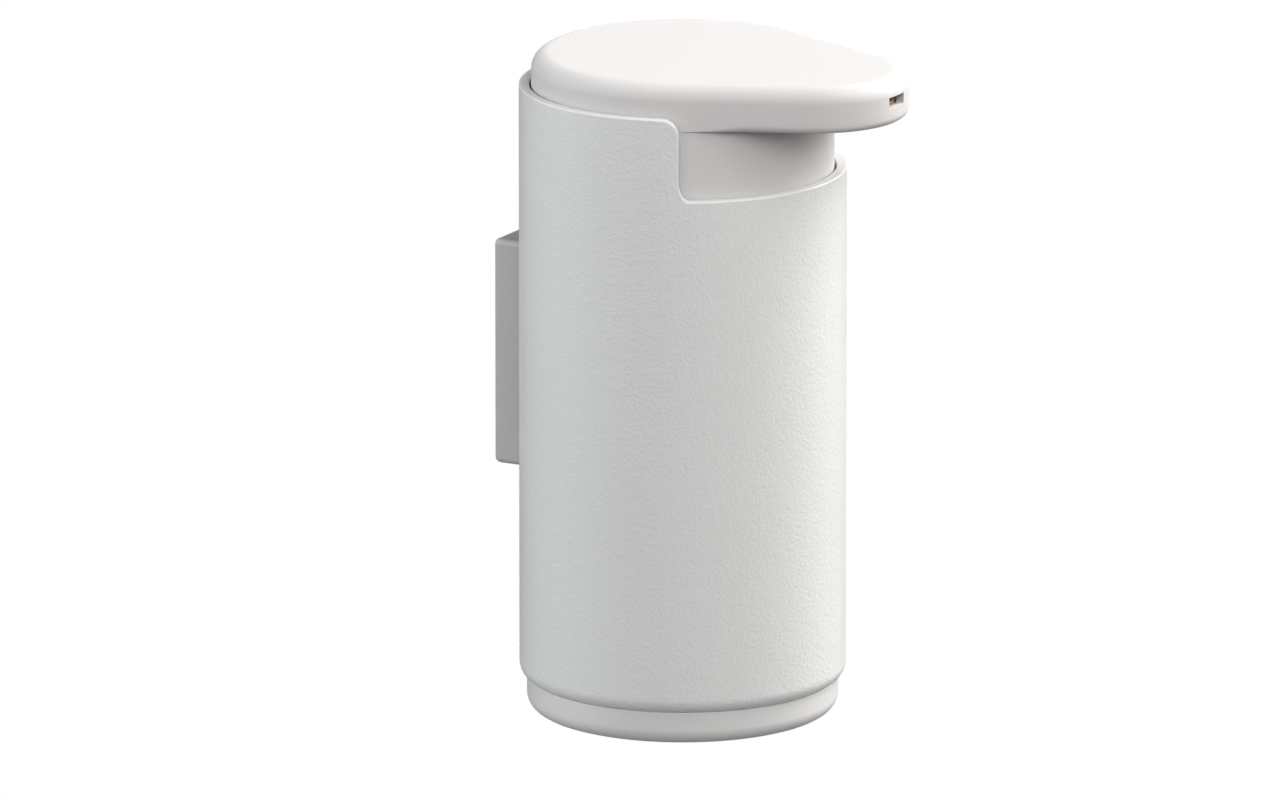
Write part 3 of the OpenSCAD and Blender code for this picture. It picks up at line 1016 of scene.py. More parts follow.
@dataclass
class SleeveBody:
    """The coated sleeve with the step in its front rim, and the base cap plugged into it."""

    bench: Bench
    mount: WallMount
    radius: float = 35.0
    wall: float = 2.2
    bottom: float = 7.5
    top: float = 137.5
    step_floor: float = 119.7
    setback: float = 15.9
    corner: float = 3.8
    inside_corner: Flat = (2.1, 4.5)
    base_round: float = 3.6
    base_rise: float = 2.9
    outer_edge: float = 0.35
    inner_edge: float = 0.35
    band: float = 2.5
    foot_radius: float = 33.4
    foot_height: float = 7.45
    foot_edge: float = 3.8
    plug_radius: float = 32.7
    plug_inner: float = 30.9
    plug_top: float = 12.5
    foot_floor: float = 3.0
    key_slot: float = 4.0

    def build(self) -> None:
        """Makes and dresses the sleeve and the base cap."""
        self.make_sleeve()
        self.make_base_cap()

    def arc_run(self, back: float) -> float:
        """Arc length from the front line to where the sleeve is at depth y = back."""
        return self.radius * math.acos(-back / self.radius)

    def knot(self, run: float, height: float, go_run: float, go_up: float) -> RimKnot:
        """Makes a rim knot in the unrolled sheet.

        Args:
            run: arc length from the front.
            height: height above the foot.
            go_run: the edge's direction along the arc.
            go_up: the edge's direction upward.

        Returns:
            The knot, with its open direction.
        """
        length = math.hypot(go_run, go_up)
        return RimKnot(run, height, -go_up / length, go_run / length)

    def rim_runs(self) -> tuple[list[RimKnot], list[RimKnot], list[RimKnot]]:
        """The edge as three runs: low rim and inside corner, riser, outside corner and high rim."""
        upright = self.arc_run(-self.setback)
        wide, tall = self.inside_corner
        c = self.corner
        low_end = upright - wide
        front = [RimKnot(s, self.step_floor, 0.0, 1.0) for s in spread(0, low_end, 30)]
        for a in spread(-90, 0, 16)[1:]:
            cos, sin = cos_sin(a)
            run, height = low_end + wide * cos, self.step_floor + tall + tall * sin
            front.append(self.knot(run, height, -wide * sin, tall * cos))
        steps = spread(self.step_floor + tall, self.top - c, 10)
        riser = [self.knot(upright, z, 0.0, 1.0) for z in steps]
        back = []
        for a in spread(180, 90, 14):
            cos, sin = cos_sin(a)
            back.append(self.knot(upright + c + c * cos, self.top - c + c * sin, sin, -cos))
        run = spread(upright + c, math.pi * self.radius, 52)[1:]
        back += [RimKnot(s, self.top, 0.0, 1.0) for s in run]
        return front, riser, back

    def at(self, run: float, height: float, depth: float) -> Point:
        """A point in the sleeve's wall.

        Args:
            run: arc length from the front on the outside.
            height: height above the foot.
            depth: distance in from the outside.

        Returns:
            The point, straight in from the outside, so that every cut face is square to the wall.
        """
        angle = run / self.radius
        inner = self.radius - depth
        return (inner * math.sin(angle), -inner * math.cos(angle), height)

    def rim_section(self) -> list[Flat]:
        """Section across the edge, as distance from the edge and depth in the wall."""
        corners = [
            (self.band, 0.0, 0.0), (0.0, 0.0, self.outer_edge), (0.0, self.wall, self.inner_edge),
            (self.band, self.wall, 0.0),
        ]
        return rounded(corners, steps=6)

    def make_sleeve(self) -> None:
        """Makes the sleeve as one closed skin and cuts the screws' countersinks."""
        made = Workpiece("coated_sleeve")
        front, riser, back = self.rim_runs()
        knots = front + riser[1:-1] + back
        rim = []
        for offset, depth in self.rim_section():
            rim.append([self.at(*k.inward(offset), depth) for k in knots])
        made.sheet(rim, both_sides=True)
        waist = self.step_floor - 3 * self.corner
        for depth in (0.0, self.wall):
            self.add_wall(made, front, riser, back, waist, depth)
        runs = [k.inward(self.band)[0] for k in front] + [k.inward(self.band)[0] for k in back[1:]]
        made.sheet([[self.at(s, z, d) for s in runs] for z, d in self.foot_rows()], both_sides=True)
        made.combine(Join.CUT, self.countersinks())
        self.bench.fit_piece(made, "dispenser", "sleeve_coat", ["outer_sleeve"])

    def add_wall(
        self,
        made: Workpiece,
        front: list[RimKnot],
        riser: list[RimKnot],
        back: list[RimKnot],
        waist: float,
        depth: float,
    ) -> None:
        """Adds one face of the wall, from the rim band down to above the foot.

        Args:
            made: the sleeve.
            front: knots of the low rim.
            riser: knots of the riser.
            back: knots of the high rim.
            waist: height where the wall stops following the step.
            depth: distance in from the outside.
        """
        low = [k.inward(self.band) for k in front]
        high = [k.inward(self.band) for k in back]
        shares = spread(0, 1, 6)
        made.sheet(
            [[self.at(s, waist + (z - waist) * t, depth) for s, z in low] for t in shares],
            both_sides=True,
        )
        shoulder = self.top - self.corner
        levels = [waist + (low[-1][1] - waist) * t for t in shares]
        levels += [k.height for k in riser[1:]]
        made.sheet([[self.at(s, z, depth) for s, _ in high] for z in levels], both_sides=True)
        made.sheet(
            [[self.at(s, shoulder + (z - shoulder) * t, depth) for s, z in high] for t in spread(0, 1, 4)],
            both_sides=True,
        )
        runs = [s for s, _ in low] + [s for s, _ in high[1:]]
        floor = self.bottom + self.base_rise
        made.sheet([[self.at(s, z, depth) for s in runs] for z in spread(floor, waist, 8)], both_sides=True)

    def foot_rows(self) -> list[Flat]:
        """Heights and depths of the rounded lower edge, from the outside to the inside."""
        rows = []
        last = math.asin(self.base_rise / self.base_round)
        for a in spread(0, last, 7):
            rise = self.base_rise - self.base_round * math.sin(a)
            rows.append((self.bottom + rise, self.base_round * (1 - math.cos(a))))
        edge = 0.25
        for a in spread(0, math.pi / 2, 3):
            rise = edge * (1 - math.cos(a))
            rows.append((self.bottom + rise, self.wall - edge + edge * math.sin(a)))
        rows.append((self.bottom + self.base_rise, self.wall))
        return rows

    def countersinks(self) -> list[Workpiece]:
        """Cutters for the two countersunk holes, from the inside."""
        mount = self.mount
        fit = 0.1
        head = mount.head_radius + fit
        shank = mount.shank_radius + fit
        start = mount.screw_start
        profile = [
            (0.0, start - 1), (head, start - 1), (head, start + 0.02),
            (shank, start + 0.02 + head - shank), (shank, self.radius + 0.8),
            (0.0, self.radius + 0.8),
        ]
        tools = []
        for height in mount.screw_heights:
            tools.append(Workpiece("countersink").turned(profile, 40, Axis.Y, (0.0, height)))
        return tools

    def make_base_cap(self) -> None:
        """Turns the base cap, with a shallow recess below and a slot for the container's key."""
        corners = [
            (0.0, 0.5, 0.0), (2.2, 0.5, 0.1), (2.2, 0.25, 0.1), (3.0, 0.25, 0.1), (3.0, 0.5, 0.1),
            (25.6, 0.5, 0.4), (26.4, 0.0, 0.4), (self.foot_radius, 0.0, self.foot_edge),
            (self.foot_radius, self.foot_height, 0.35), (self.plug_radius, self.foot_height, 0.05),
            (self.plug_radius, self.plug_top, 0.6), (self.plug_inner, self.plug_top, 0.4),
            (self.plug_inner, self.foot_floor, 0.9), (0.0, self.foot_floor, 0.0),
        ]
        made = Workpiece("foot_cap").turned(rounded(corners, 7), 180)
        half = self.key_slot / 2
        slot = Workpiece("key_slot").slab((-half, 29.5, 8.0), (half, 34.0, 13.5))
        made.combine(Join.CUT, [slot])
        self.bench.fit_piece(made, "dispenser", "base_plastic", ["base_cap"])


@dataclass
class SoapStore:
    """The lift-out container, the pump carrier that closes it, and the carrier's seals."""

    bench: Bench
    foot_radius: float = 30.6
    foot_bottom: float = 3.05
    foot_bore: float = 29.0
    floor_top: float = 5.05
    step: float = 14.5
    radius: float = 32.3
    inner: float = 30.7
    lip: float = 100.95
    lip_slot: float = 4.0
    lip_slot_bottom: float = 98.45
    key_width: float = 3.6

    def build(self) -> None:
        """Makes and dresses the container, the carrier and the two seals."""
        self.make_container()
        self.make_carrier()
        self.make_seals()

    def make_container(self) -> None:
        """Turns the container, with a locating key at its foot and a slot in its lip."""
        corners = [
            (0.0, self.foot_bottom, 0.0), (self.foot_radius, self.foot_bottom, 1.4),
            (self.foot_radius, self.step, 0.2), (self.radius, self.step, 0.6),
            (self.radius, self.lip, 0.5), (self.inner, self.lip, 0.5),
            (self.inner, self.step + 1.6, 0.8), (self.foot_bore, self.step + 1.6, 0.5),
            (self.foot_bore, self.floor_top, 1.6), (0.0, self.floor_top, 0.0),
        ]
        made = Workpiece("soap_container_body").turned(rounded(corners), 144)
        half = self.key_width / 2
        key = Workpiece("key").slab((-half, 29.6, 8.3), (half, 32.1, self.step + 0.3))
        made.combine(Join.WELD, [key])
        half = self.lip_slot / 2
        slot = Workpiece("slot").slab((-half, 29.6, self.lip_slot_bottom), (half, 33.5, self.lip + 1))
        made.combine(Join.CUT, [slot])
        self.bench.fit_piece(made, "container", "container_plastic", ["soap_container"])

    def make_carrier(self) -> None:
        """Turns the carrier: plate, plug ring with a seal groove, guide turret and pump collar."""
        corners = [
            (8.3, 101.0, 0.2), (28.5, 101.0, 0.4), (28.5, 94.0, 0.4), (30.3, 94.0, 0.6),
            (30.3, 96.4, 0.1), (29.3, 96.4, 0.1), (29.3, 98.4, 0.1), (30.3, 98.4, 0.1),
            (30.3, 101.0, 0.1), (32.2, 101.0, 0.4), (32.2, 103.0, 0.4), (30.3, 103.0, 0.4),
            (30.3, 122.0, 0.5), (28.8, 122.0, 0.5), (28.8, 103.0, 0.5), (13.2, 103.0, 0.5),
            (13.2, 111.0, 0.3), (11.8, 111.0, 0.3), (11.8, 103.0, 0.1), (8.3, 103.0, 0.2),
        ]
        made = Workpiece("pump_carrier_body").turned(rounded(corners, 4), 144)
        key = Workpiece("key").slab((-1.8, 30.0, 98.75), (1.8, 32.1, 101.3))
        made.combine(Join.WELD, [key])
        tools = [Workpiece("rail_slot").slab((-33, -1.4, 103.05), (33, 1.4, 123))]
        kept = Workpiece("rail_keep").turned([(0, 102), (27.5, 102), (27.5, 124), (0, 124)], 96)
        tools[0].combine(Join.CUT, [kept])
        vent = [(0.0, 100.0), (0.8, 100.0), (0.8, 104.0), (0.0, 104.0)]
        tools.append(Workpiece("vent").turned(vent, 32, Axis.Z, (0.0, 21.05)))
        made.combine(Join.CUT, tools)
        self.bench.fit_piece(made, "pump", "pump_plastic", ["pump_carrier"])

    def make_seals(self) -> None:
        """Turns the ring round the plug and the gasket under the pump's flange."""
        ring_corners = [
            (29.35, 96.45, 0.5), (30.65, 96.45, 0.6), (30.65, 98.35, 0.6), (29.35, 98.35, 0.5),
        ]
        made = Workpiece("closure_ring").turned(rounded(ring_corners), 144)
        self.bench.fit_piece(made, "pump", "seal_rubber", ["closure_seal"])
        flat_corners = [(8.3, 103.0, 0.15), (11.0, 103.0, 0.3), (11.0, 104.0, 0.3), (8.3, 104.0, 0.15)]
        made = Workpiece("flange_gasket").turned(rounded(flat_corners), 96)
        self.bench.fit_piece(made, "pump", "seal_rubber", ["housing_gasket"])


@dataclass
class PumpUnit:
    """The pump: housing, cap, cage, valves, dip tube, spring, piston and stem."""

    bench: Bench
    flange_top: float = 105.6
    cap_top: float = 112.0
    spring_bottom: float = 66.7
    spring_top: float = 95.2
    spring_radius: float = 5.0
    wire: float = 0.5
    turns: int = 8
    end_nip: float = 0.98
    coil_steps: int = 56
    wire_sides: int = 12
    grips: int = 24
    grip_radius: float = 0.55
    grip_circle: float = 13.55
    stroke: float = 12.0
    stem_bottom: float = 95.2
    stem_top: float = 136.5

    def build(self) -> None:
        """Makes and dresses the pump's pieces."""
        self.make_housing()
        self.make_cap()
        self.make_spring()
        self.make_piston()
        self.make_stem()
        self.bench.dress_node("ball_cage", "pump_plastic", edge_mm=0.15)
        self.bench.dress_node("inlet_ball", "ball_steel")
        self.bench.dress_node("outlet_ball", "ball_steel")
        self.bench.dress_node("dip_tube", "tube_plastic", edge_mm=0.12)

    def make_housing(self) -> None:
        """Turns the housing: flange, cylinder, cone with the inlet seat, and tube socket."""
        corners = [
            (3.05, 47.018, 0.2), (4.4, 47.018, 0.4), (4.4, 57.018, 0.3), (8.2, 64.1, 0.8),
            (8.2, 104.0, 0.3), (11.0, 104.0, 0.3), (11.0, self.flange_top, 0.3),
            (7.0, self.flange_top, 0.3), (7.0, 65.1, 0.1), (3.8, 65.1, 0.2), (3.8, 59.018, 0.3),
            (2.2, 59.018, 0.0), (2.2, 57.018, 0.1), (3.05, 57.018, 0.1),
        ]
        made = Workpiece("pump_barrel").turned(rounded(corners), 96)
        self.bench.fit_piece(made, "pump", "pump_plastic", ["pump_housing"])

    def make_cap(self) -> None:
        """Turns the housing cap, with grip notches round its rim."""
        corners = [
            (4.05, self.flange_top, 0.2), (11.7, self.flange_top, 0.3), (11.7, 111.05, 0.1),
            (13.2, 111.05, 0.1), (13.2, self.cap_top, 0.35), (4.05, self.cap_top, 0.3),
        ]
        made = Workpiece("pump_cap").turned(rounded(corners), 144)
        grips = Workpiece("grips")
        size, low, high = self.grip_radius, 110.9, 112.5
        for a in ring(self.grips):
            centre = (self.grip_circle * math.cos(a), self.grip_circle * math.sin(a))
            grips.turned([(0.0, low), (size, low), (size, high), (0.0, high)], 16, Axis.Z, centre)
        made.combine(Join.CUT, [grips])
        self.bench.fit_piece(made, "pump", "pump_plastic", ["housing_cap"])

    def spring_centre(self, turn: float) -> Point:
        """The wire's middle after this many turns.

        Args:
            turn: turns from the lower end, of which the first and the last lie flat.

        Returns:
            The point on the coil.
        """
        total = self.turns + 2
        dead = 2 * self.wire * self.end_nip
        low = self.spring_bottom + self.wire
        high = self.spring_top - self.wire
        pitch = (high - low - 2 * dead) / self.turns
        if turn < 1:
            height = low + dead * ramp(0, 1, turn)
        elif turn > total - 1:
            height = high - dead * ramp(0, 1, total - turn)
        else:
            height = low + dead + pitch * (turn - 1)
        a = TURN * turn
        return (self.spring_radius * math.cos(a), self.spring_radius * math.sin(a), height)

    def make_spring(self) -> None:
        """Sweeps the wire round the coil."""
        rows = []
        for i in range((self.turns + 2) * self.coil_steps + 1):
            turn = i / self.coil_steps
            centre = Vector(self.spring_centre(turn))
            a = TURN * turn
            outward = Vector((math.cos(a), math.sin(a), 0.0))
            row = []
            for b in ring(self.wire_sides):
                offset = outward * math.cos(b) + Vector((0.0, 0.0, math.sin(b)))
                row.append(tuple(centre + offset * self.wire))
            rows.append(row)
        made = Workpiece("coil_spring").tube(rows)
        piece = self.bench.fit_piece(made, "pump", "spring_steel", ["return_spring"])
        anchor = self.bench.datum.place((0.0, 0.0, self.spring_bottom))
        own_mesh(piece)

    def make_piston(self) -> None:
        """Turns the piston seal with its two wiping lips."""
        low, high = 96.7, 104.7
        corners = [
            (4.05, low, 0.2), (6.2, low, 0.2), (6.95, low + 0.8, 0.25), (6.95, low + 2.0, 0.25),
            (6.1, low + 2.0, 0.3), (6.1, high - 2.0, 0.3), (6.95, high - 2.0, 0.25),
            (6.95, high - 0.8, 0.25), (6.2, high, 0.2), (4.05, high, 0.2),
        ]
        made = Workpiece("piston_ring").turned(rounded(corners), 96)
        self.bench.fit_piece(made, "head", "seal_rubber", ["piston_seal"])

    def make_stem(self) -> None:
        """Turns the hollow stem with its foot, its shoulder and the outlet valve's bore."""
        low = self.stem_bottom
        corners = [
            (2.0, low, 0.15), (6.2, low, 0.3), (6.2, low + 1.5, 0.15), (4.0, low + 1.5, 0.1),
            (4.0, 104.7, 0.1), (5.2, 104.7, 0.1), (5.2, 105.5, 0.2), (4.0, 105.5, 0.1),
            (4.0, self.stem_top, 0.4), (2.7, self.stem_top, 0.2), (2.7, 130.0, 0.0),
            (2.0, 130.0, 0.0),
        ]
        made = Workpiece("stem_tube").turned(rounded(corners), 72)
        self.bench.fit_piece(made, "head", "pump_plastic", ["pump_stem"])


@dataclass(frozen=True)
class Station:
    """A point on the head's outline in plan, with its outward direction."""

    x: float
    y: float
    out_x: float
    out_y: float

    def inset(self, offset: float, height: float) -> Point:
        """The point this far inside the outline, at a height."""
        return (self.x - offset * self.out_x, self.y - offset * self.out_y, height)


@dataclass
class PressHead:
    """The head that is pressed down: shell with skirt and spout, underplate and soap duct."""

    bench: Bench
    radius: float = 32.35
    tip_radius: float = 19.7
    tip_back: float = 32.1
    top: float = 144.4
    under: float = 134.4
    upper_edge: float = 3.7
    lower_edge: float = 1.6
    wall: float = 1.8
    roof: float = 142.4
    skirt_inner: float = 30.75
    skirt_bottom: float = 115.8
    socket_radius: float = 7.2
    socket_bottom: float = 125.5
    stem_bore: float = 4.1
    stem_stop: float = 136.6
    chamber: float = 3.2
    pin_radius: float = 0.9
    pin_bottom: float = 134.42
    slot_width: float = 6.5
    slot_level: float = 139.6
    mouth_height: float = 2.4
    mouth_level: float = 139.45
    mouth_rounding: float = 0.15
    duct_width: float = 9.3
    duct_height: float = 4.7
    duct_back: float = 4.4
    seat_fit: float = 0.1
    rail_width: float = 2.4
    rail_depth: float = 1.0

    def build(self) -> None:
        """Makes and dresses the head."""
        self.make_shell()
        self.bench.dress_node("spout_underplate", "head_plastic", edge_mm=0.12)
        self.bench.dress_node("soap_duct", "duct_plastic")

    def on_skirt(self, angle: float) -> Station:
        """The skirt's station at this angle from the front."""
        x, y = math.sin(angle), -math.cos(angle)
        return Station(self.radius * x, self.radius * y, x, y)

    def lean(self) -> float:
        """Angle by which each flank turns in towards the tip."""
        return math.asin((self.radius - self.tip_radius) / self.tip_back)

    def cavity_start(self) -> float:
        """Distance along the flank, from the skirt, at which the spout's cavity starts."""
        return math.sqrt(self.radius**2 - (self.radius - self.wall) ** 2)

    def outline(self) -> tuple[list[Station], list[Station], list[Station]]:
        """Half of the outline, from the tip to the back.

        Returns:
            Three runs: tip and most of the flank, the rest of the flank up to the skirt, and the skirt.
        """
        lean = self.lean()
        out_x, out_y = math.cos(lean), -math.sin(lean)
        tip = []
        for t in spread(0, math.pi / 2 - lean, 36):
            x, y = math.sin(t), -math.cos(t)
            tip.append(Station(self.tip_radius * x, self.tip_radius * y - self.tip_back, x, y))
        length = self.tip_back * math.cos(lean)
        meet = self.cavity_start()

        def flank(left: float) -> Station:
            """The flank's point at this distance from the skirt."""
            x = self.radius * out_x + left * out_y
            y = self.radius * out_y - left * out_x
            return Station(x, y, out_x, out_y)

        tip += [flank(left) for left in spread(length, meet, 12)[1:]]
        bridge = [flank(left) for left in spread(meet, 0, 12)]
        arc = [self.on_skirt(a) for a in spread(math.pi / 2 - lean, math.pi, 56)]
        return tip, bridge, arc

    def edge_at(self, station: Station) -> float:
        """Radius of the lower edge, which fades out where the flank meets the skirt."""
        ledge = math.hypot(station.x, station.y) - self.radius
        return min(self.lower_edge, 0.45 * max(0.0, ledge))

    def skirt_station(self, left: float, meet: float) -> Station:
        """The point on the skirt under a flank point.

        Args:
            left: the flank point's distance from the skirt, along the flank.
            meet: that distance where the spout's cavity starts.

        Returns:
            The point on the skirt.
        """
        angle = math.pi / 2 - self.lean()
        return self.on_skirt(angle - math.atan(left / (self.radius - self.wall * left / meet)))

    def make_shell(self) -> None:
        """Makes the shell as one closed skin, then adds its rails and cuts the soap slot."""
        made = Workpiece("head_cover")
        tip, bridge, arc = self.outline()
        whole = tip + bridge[1:] + arc[1:]
        self.add_outside(made, whole, len(tip) + len(bridge) - 1)
        meet = self.cavity_start()
        lefts = spread(meet, 0, 12)
        ledge = [self.skirt_station(left, meet) for left in lefts]
        start = math.atan2(ledge[0].x, -ledge[0].y)
        front = [self.on_skirt(a) for a in spread(0, start, len(tip) - 1)]
        self.add_underside(made, tip, bridge, ledge, front)
        self.add_skirt(made, front + ledge[1:] + arc[1:])
        made.combine(Join.WELD, self.rails())
        made.combine(Join.CUT, self.channels())
        self.bench.fit_piece(made, "head", "head_plastic", ["head_shell"], sharp=30.0)

    def add_outside(self, made: Workpiece, whole: list[Station], skirt_from: int) -> None:
        """Adds the top, its rounded edge and the side down to the spout's underside.

        Args:
            made: the shell.
            whole: the outline's stations.
            skirt_from: index of the first station on the skirt.
        """
        inner = [s.inset(self.upper_edge, self.top) for s in whole]
        made.sheet([[(0.0, y, z) for _, y, z in inner], inner], both_sides=True)
        shoulder = self.top - self.upper_edge
        rows = []
        for a in spread(0, math.pi / 2, 14):
            inset = self.upper_edge * (1 - math.sin(a))
            height = shoulder + self.upper_edge * math.cos(a)
            rows.append([s.inset(inset, height) for s in whole])
        edges = [self.edge_at(s) if i < skirt_from else 0.0 for i, s in enumerate(whole)]
        for t in spread(0, 1, 4)[1:]:
            row = []
            for s, edge in zip(whole, edges):
                row.append(s.inset(0.0, shoulder + (self.under + edge - shoulder) * t))
            rows.append(row)
        for a in spread(0, math.pi / 2, 4)[1:]:
            row = []
            for s, edge in zip(whole, edges):
                row.append(s.inset(edge * (1 - math.cos(a)), self.under + edge * (1 - math.sin(a))))
            rows.append(row)
        made.sheet(rows, both_sides=True)

    def add_underside(
        self,
        made: Workpiece,
        tip: list[Station],
        bridge: list[Station],
        ledge: list[Station],
        front: list[Station],
    ) -> None:
        """Adds the spout's lower rim, the ledges beside the skirt and the cavity.

        Args:
            made: the shell.
            tip: outline up to where the cavity starts.
            bridge: outline from there to the skirt.
            ledge: points on the skirt under the bridge.
            front: points on the skirt inside the cavity, from the middle outward.
        """
        outer = [s.inset(self.edge_at(s), self.under) for s in tip]
        inner = [s.inset(self.wall, self.under) for s in tip]
        made.sheet([outer, inner], both_sides=True)
        outer = [s.inset(self.edge_at(s), self.under) for s in bridge]
        made.sheet([outer, [s.inset(0.0, self.under) for s in ledge]], both_sides=True)
        ceiling = [s.inset(self.wall, self.roof) for s in tip]
        made.sheet([inner, ceiling], both_sides=True)
        low = [s.inset(0.0, self.under) for s in front]
        high = [s.inset(0.0, self.roof) for s in front]
        made.sheet([low, high], both_sides=True)
        made.sheet([ceiling, high], both_sides=True)

    def add_skirt(self, made: Workpiece, stations: list[Station]) -> None:
        """Adds the skirt below the spout and everything inside it.

        Args:
            made: the shell.
            stations: points round half of the skirt.
        """
        edge = 0.4
        low = self.skirt_bottom
        section: list[Flat] = [(self.radius, z) for z in spread(self.under, low + edge, 4)]
        for a in spread(0, math.pi / 2, 4)[1:]:
            section.append((self.radius - edge * (1 - math.cos(a)), low + edge * (1 - math.sin(a))))
        for a in spread(0, math.pi / 2, 4):
            inner = self.skirt_inner + edge * (1 - math.sin(a))
            section.append((inner, low + edge * (1 - math.cos(a))))
        section += [
            (self.skirt_inner, self.roof), (self.socket_radius, self.roof),
            (self.socket_radius, self.socket_bottom), (self.stem_bore, self.socket_bottom),
            (self.stem_bore, self.stem_stop), (self.chamber, self.stem_stop),
            (self.chamber, self.roof), (self.pin_radius, self.roof),
            (self.pin_radius, self.pin_bottom), (0.0, self.pin_bottom),
        ]
        rows = [[(r * s.out_x, r * s.out_y, z) for s in stations] for r, z in section]
        made.sheet(rows, both_sides=True)

    def rails(self) -> list[Workpiece]:
        """The two rails inside the skirt that run in the carrier's slots."""
        half = self.rail_width / 2
        near = self.skirt_inner - self.rail_depth
        low, high = self.skirt_bottom + 0.3, self.roof + 0.5
        made = []
        for side in (-1, 1):
            xs = sorted((side * near, side * (self.skirt_inner + 0.4)))
            made.append(Workpiece("rail").slab((xs[0], -half, low), (xs[1], half, high)))
        return made

    def channels(self) -> list[Workpiece]:
        """Cutters for the soap slot and for the duct's seat in the skirt and the socket."""
        half_w, half_h = self.slot_width / 2, self.mouth_height / 2
        level = self.slot_level
        low, high = self.mouth_level - half_h, self.mouth_level + half_h
        turn = half_h * self.mouth_rounding
        mouth = ((-half_w, low), (half_w, low), (half_w, high), (-half_w, high))
        corners = [(x, z, turn) for x, z in mouth]
        reach = self.tip_back + self.tip_radius
        slot = Workpiece("slot").prism(rounded(corners, 4), -reach - 1, -1.0, Axis.Y)
        wide = self.duct_width / 2 + self.seat_fit
        tall = self.duct_height / 2 + self.seat_fit
        seat = Workpiece("seat").slab(
            (-wide, -self.radius - 2.0, level - tall), (wide, -self.duct_back + 0.1, level + tall)
        )
        return [slot, seat]


@dataclass(frozen=True)
class Softbox:
    """A soft studio lamp, placed round the dispenser."""

    name: str
    azimuth: float
    elevation: float
    distance: float
    width: float
    height: float
    power: float
    colour: tuple[float, float, float] = (1.0, 1.0, 1.0)

    def light(self, aim: Vector) -> None:
        """Adds the lamp, facing the aim point.

        Args:
            aim: point the lamp faces, in metres.
        """
        lamp = bpy.data.lights.new(self.name, "AREA")
        lamp.shape = "RECTANGLE"
        lamp.size = self.width
        lamp.size_y = self.height
        lamp.energy = self.power
        lamp.color = self.colour
        made = add_object(self.name, lamp)
        turn, rise = math.radians(self.azimuth), math.radians(self.elevation)
        away = Vector(
            (-math.sin(turn) * math.cos(rise), math.cos(turn) * math.cos(rise), -math.sin(rise))
        )
        made.location = aim - away * self.distance
        made.rotation_euler = away.to_track_quat("-Z", "Y").to_euler()


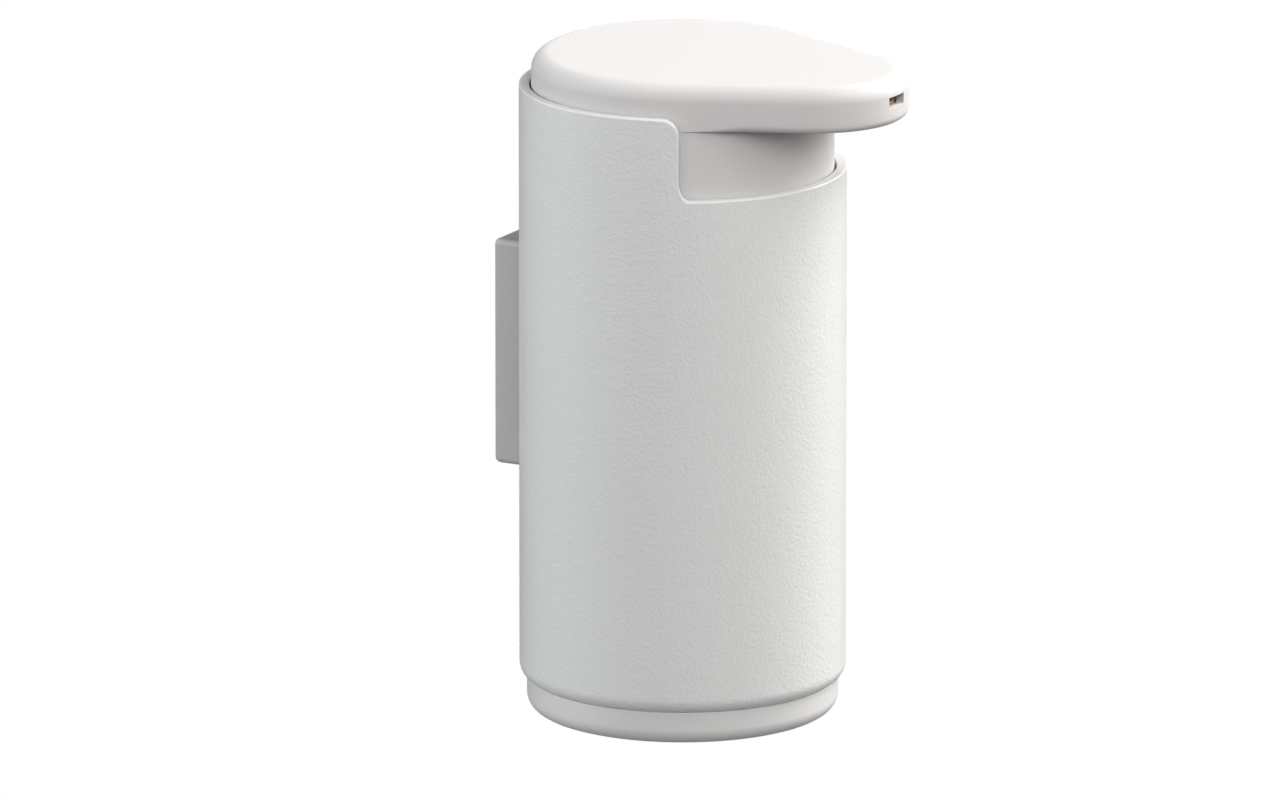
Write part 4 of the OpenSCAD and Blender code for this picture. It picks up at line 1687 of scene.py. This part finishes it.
@dataclass
class Studio:
    """The camera, the floor, the surroundings and the lamps."""

    datum: Datum
    azimuth: float = -61.5
    elevation: float = 14.723
    distance: float = 4.5
    focal: float = 594.8
    sensor: float = 36.0
    aim_height: float = 35.731
    shift_right: float = -10.12
    shift_up: float = 30.90
    floor_drop: float = 0.9
    floor_size: float = 40.0
    fill: float = 0.02
    lamps: list[Softbox] = field(
        default_factory=lambda: [
            Softbox("far_right_softbox", 60.0, 20.0, 1.8, 0.9, 0.9, 28.1, (1.0, 0.99, 0.965)),
            Softbox("right_softbox", 5.0, 20.0, 1.8, 0.9, 0.9, 8.6, (1.0, 0.99, 0.97)),
            Softbox("high_right_softbox", 0.0, 55.0, 1.8, 0.9, 0.9, 13.1, (1.0, 0.99, 0.975)),
            Softbox("back_right_softbox", 60.0, 50.0, 1.8, 0.9, 0.9, 20.0),
            Softbox("front_softbox", -61.0, 35.0, 1.8, 0.9, 0.9, 13.9),
            Softbox("near_left_softbox", -100.0, 15.0, 1.8, 0.5, 0.9, 5.0, (0.97, 0.99, 1.0)),
            Softbox("left_softbox", -145.0, 15.0, 1.8, 0.5, 0.9, 7.2, (0.95, 0.98, 1.0)),
            Softbox("far_left_softbox", -165.0, 20.0, 1.8, 0.5, 0.9, 12.4, (0.95, 0.98, 1.0)),
        ]
    )

    def build_camera(self) -> None:
        """Adds the camera and makes it the scene's own."""
        turn, rise = math.radians(self.azimuth), math.radians(self.elevation)
        right = Vector((math.cos(turn), math.sin(turn), 0.0))
        back = Vector((math.sin(turn) * math.cos(rise), -math.cos(turn) * math.cos(rise), math.sin(rise)))
        up = back.cross(right)
        anchor = self.datum.place((0.0, 0.0, self.aim_height))
        place = anchor + back * self.distance
        aim = anchor + (right * self.shift_right + up * self.shift_up) * MM
        lens = bpy.data.cameras.new("studio_camera")
        lens.lens = self.focal
        lens.sensor_width = self.sensor
        lens.clip_end = 200.0
        camera = add_object("studio_camera", lens)
        camera.location = place
        camera.rotation_euler = (aim - place).to_track_quat("-Z", "Y").to_euler()
        bpy.context.scene.camera = camera
        LOG.info("camera ready")

    def build_set(self) -> None:
        """Adds the floor, the surroundings and the lamps."""
        bpy.context.scene.view_settings.view_transform = "Standard"
        self.build_floor()
        self.build_surroundings()
        aim = self.datum.place((0.0, -8.0, 75.0))
        for lamp in self.lamps:
            lamp.light(aim)
        LOG.info("studio ready: %d lamps", len(self.lamps))

    def build_floor(self) -> None:
        """Adds a plain pale floor well below the dispenser, clear when seen from below."""
        mesh = bpy.data.meshes.new("studio_floor")
        half = self.floor_size / 2
        corners = [(-half, -half), (half, -half), (half, half), (-half, half)]
        mesh.from_pydata([(x, y, -self.floor_drop) for x, y in corners], [], [(0, 1, 2, 3)])
        floor = add_object("studio_floor", mesh)
        made, graph, shader = new_material("floor_finish")
        shader.inputs["Roughness"].default_value = 0.9
        shader.inputs["Specular IOR Level"].default_value = 0.1
        tint = graph.between(graph.noise(graph.here(), 1.5, 2.0), (0.3, 0.7), (0.26, 0.3))
        graph.tree.links.new(tint, shader.inputs["Base Color"])
        glow = graph.node("ShaderNodeEmission", {"Color": (1.0, 1.0, 1.0, 1.0), "Strength": 1.0})
        clear = graph.node("ShaderNodeBsdfTransparent")
        seen = graph.node("ShaderNodeLightPath").outputs["Is Camera Ray"]
        under = graph.node("ShaderNodeNewGeometry").outputs["Backfacing"]
        face = graph.node("ShaderNodeMixShader", {0: seen, 1: shader.outputs[0], 2: glow.outputs[0]})
        both = graph.node("ShaderNodeMixShader", {0: under, 1: face.outputs[0], 2: clear.outputs[0]})
        output = next(n for n in graph.tree.nodes if n.type == "OUTPUT_MATERIAL")
        graph.tree.links.new(both.outputs[0], output.inputs["Surface"])
        mesh.materials.append(made)

    def build_surroundings(self) -> None:
        """Makes the surroundings plain white to look at, and a soft fill as a light."""
        world = bpy.data.worlds.new("studio_world")
        world.use_nodes = True
        graph = Graph(world.node_tree)
        graph.tree.nodes.clear()
        fill = graph.node("ShaderNodeBackground", {0: (0.97, 0.985, 1.0, 1.0), 1: self.fill})
        white = graph.node("ShaderNodeBackground", {0: (1.0, 1.0, 1.0, 1.0), 1: 1.0})
        seen = graph.node("ShaderNodeLightPath").outputs["Is Camera Ray"]
        mixed = graph.node("ShaderNodeMixShader", {0: seen, 1: fill.outputs[0], 2: white.outputs[0]})
        graph.node("ShaderNodeOutputWorld", {0: mixed.outputs[0]})
        bpy.context.scene.world = world


def main() -> None:
    """Builds the scene, piece by piece."""
    logging.basicConfig(level=logging.INFO, format="%(name)s: %(message)s")
    datum = Datum.from_frame(WallMount.block_back)
    studio = Studio(datum)
    studio.build_camera()
    bench = Bench(datum, Finishes(Effects()))
    mount = WallMount(bench)
    for assembly in (mount, SleeveBody(bench, mount), SoapStore(bench), PumpUnit(bench), PressHead(bench)):
        assembly.build()
        LOG.info("%s ready", type(assembly).__name__)
    studio.build_set()
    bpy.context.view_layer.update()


if __name__ == "__main__":
    main()
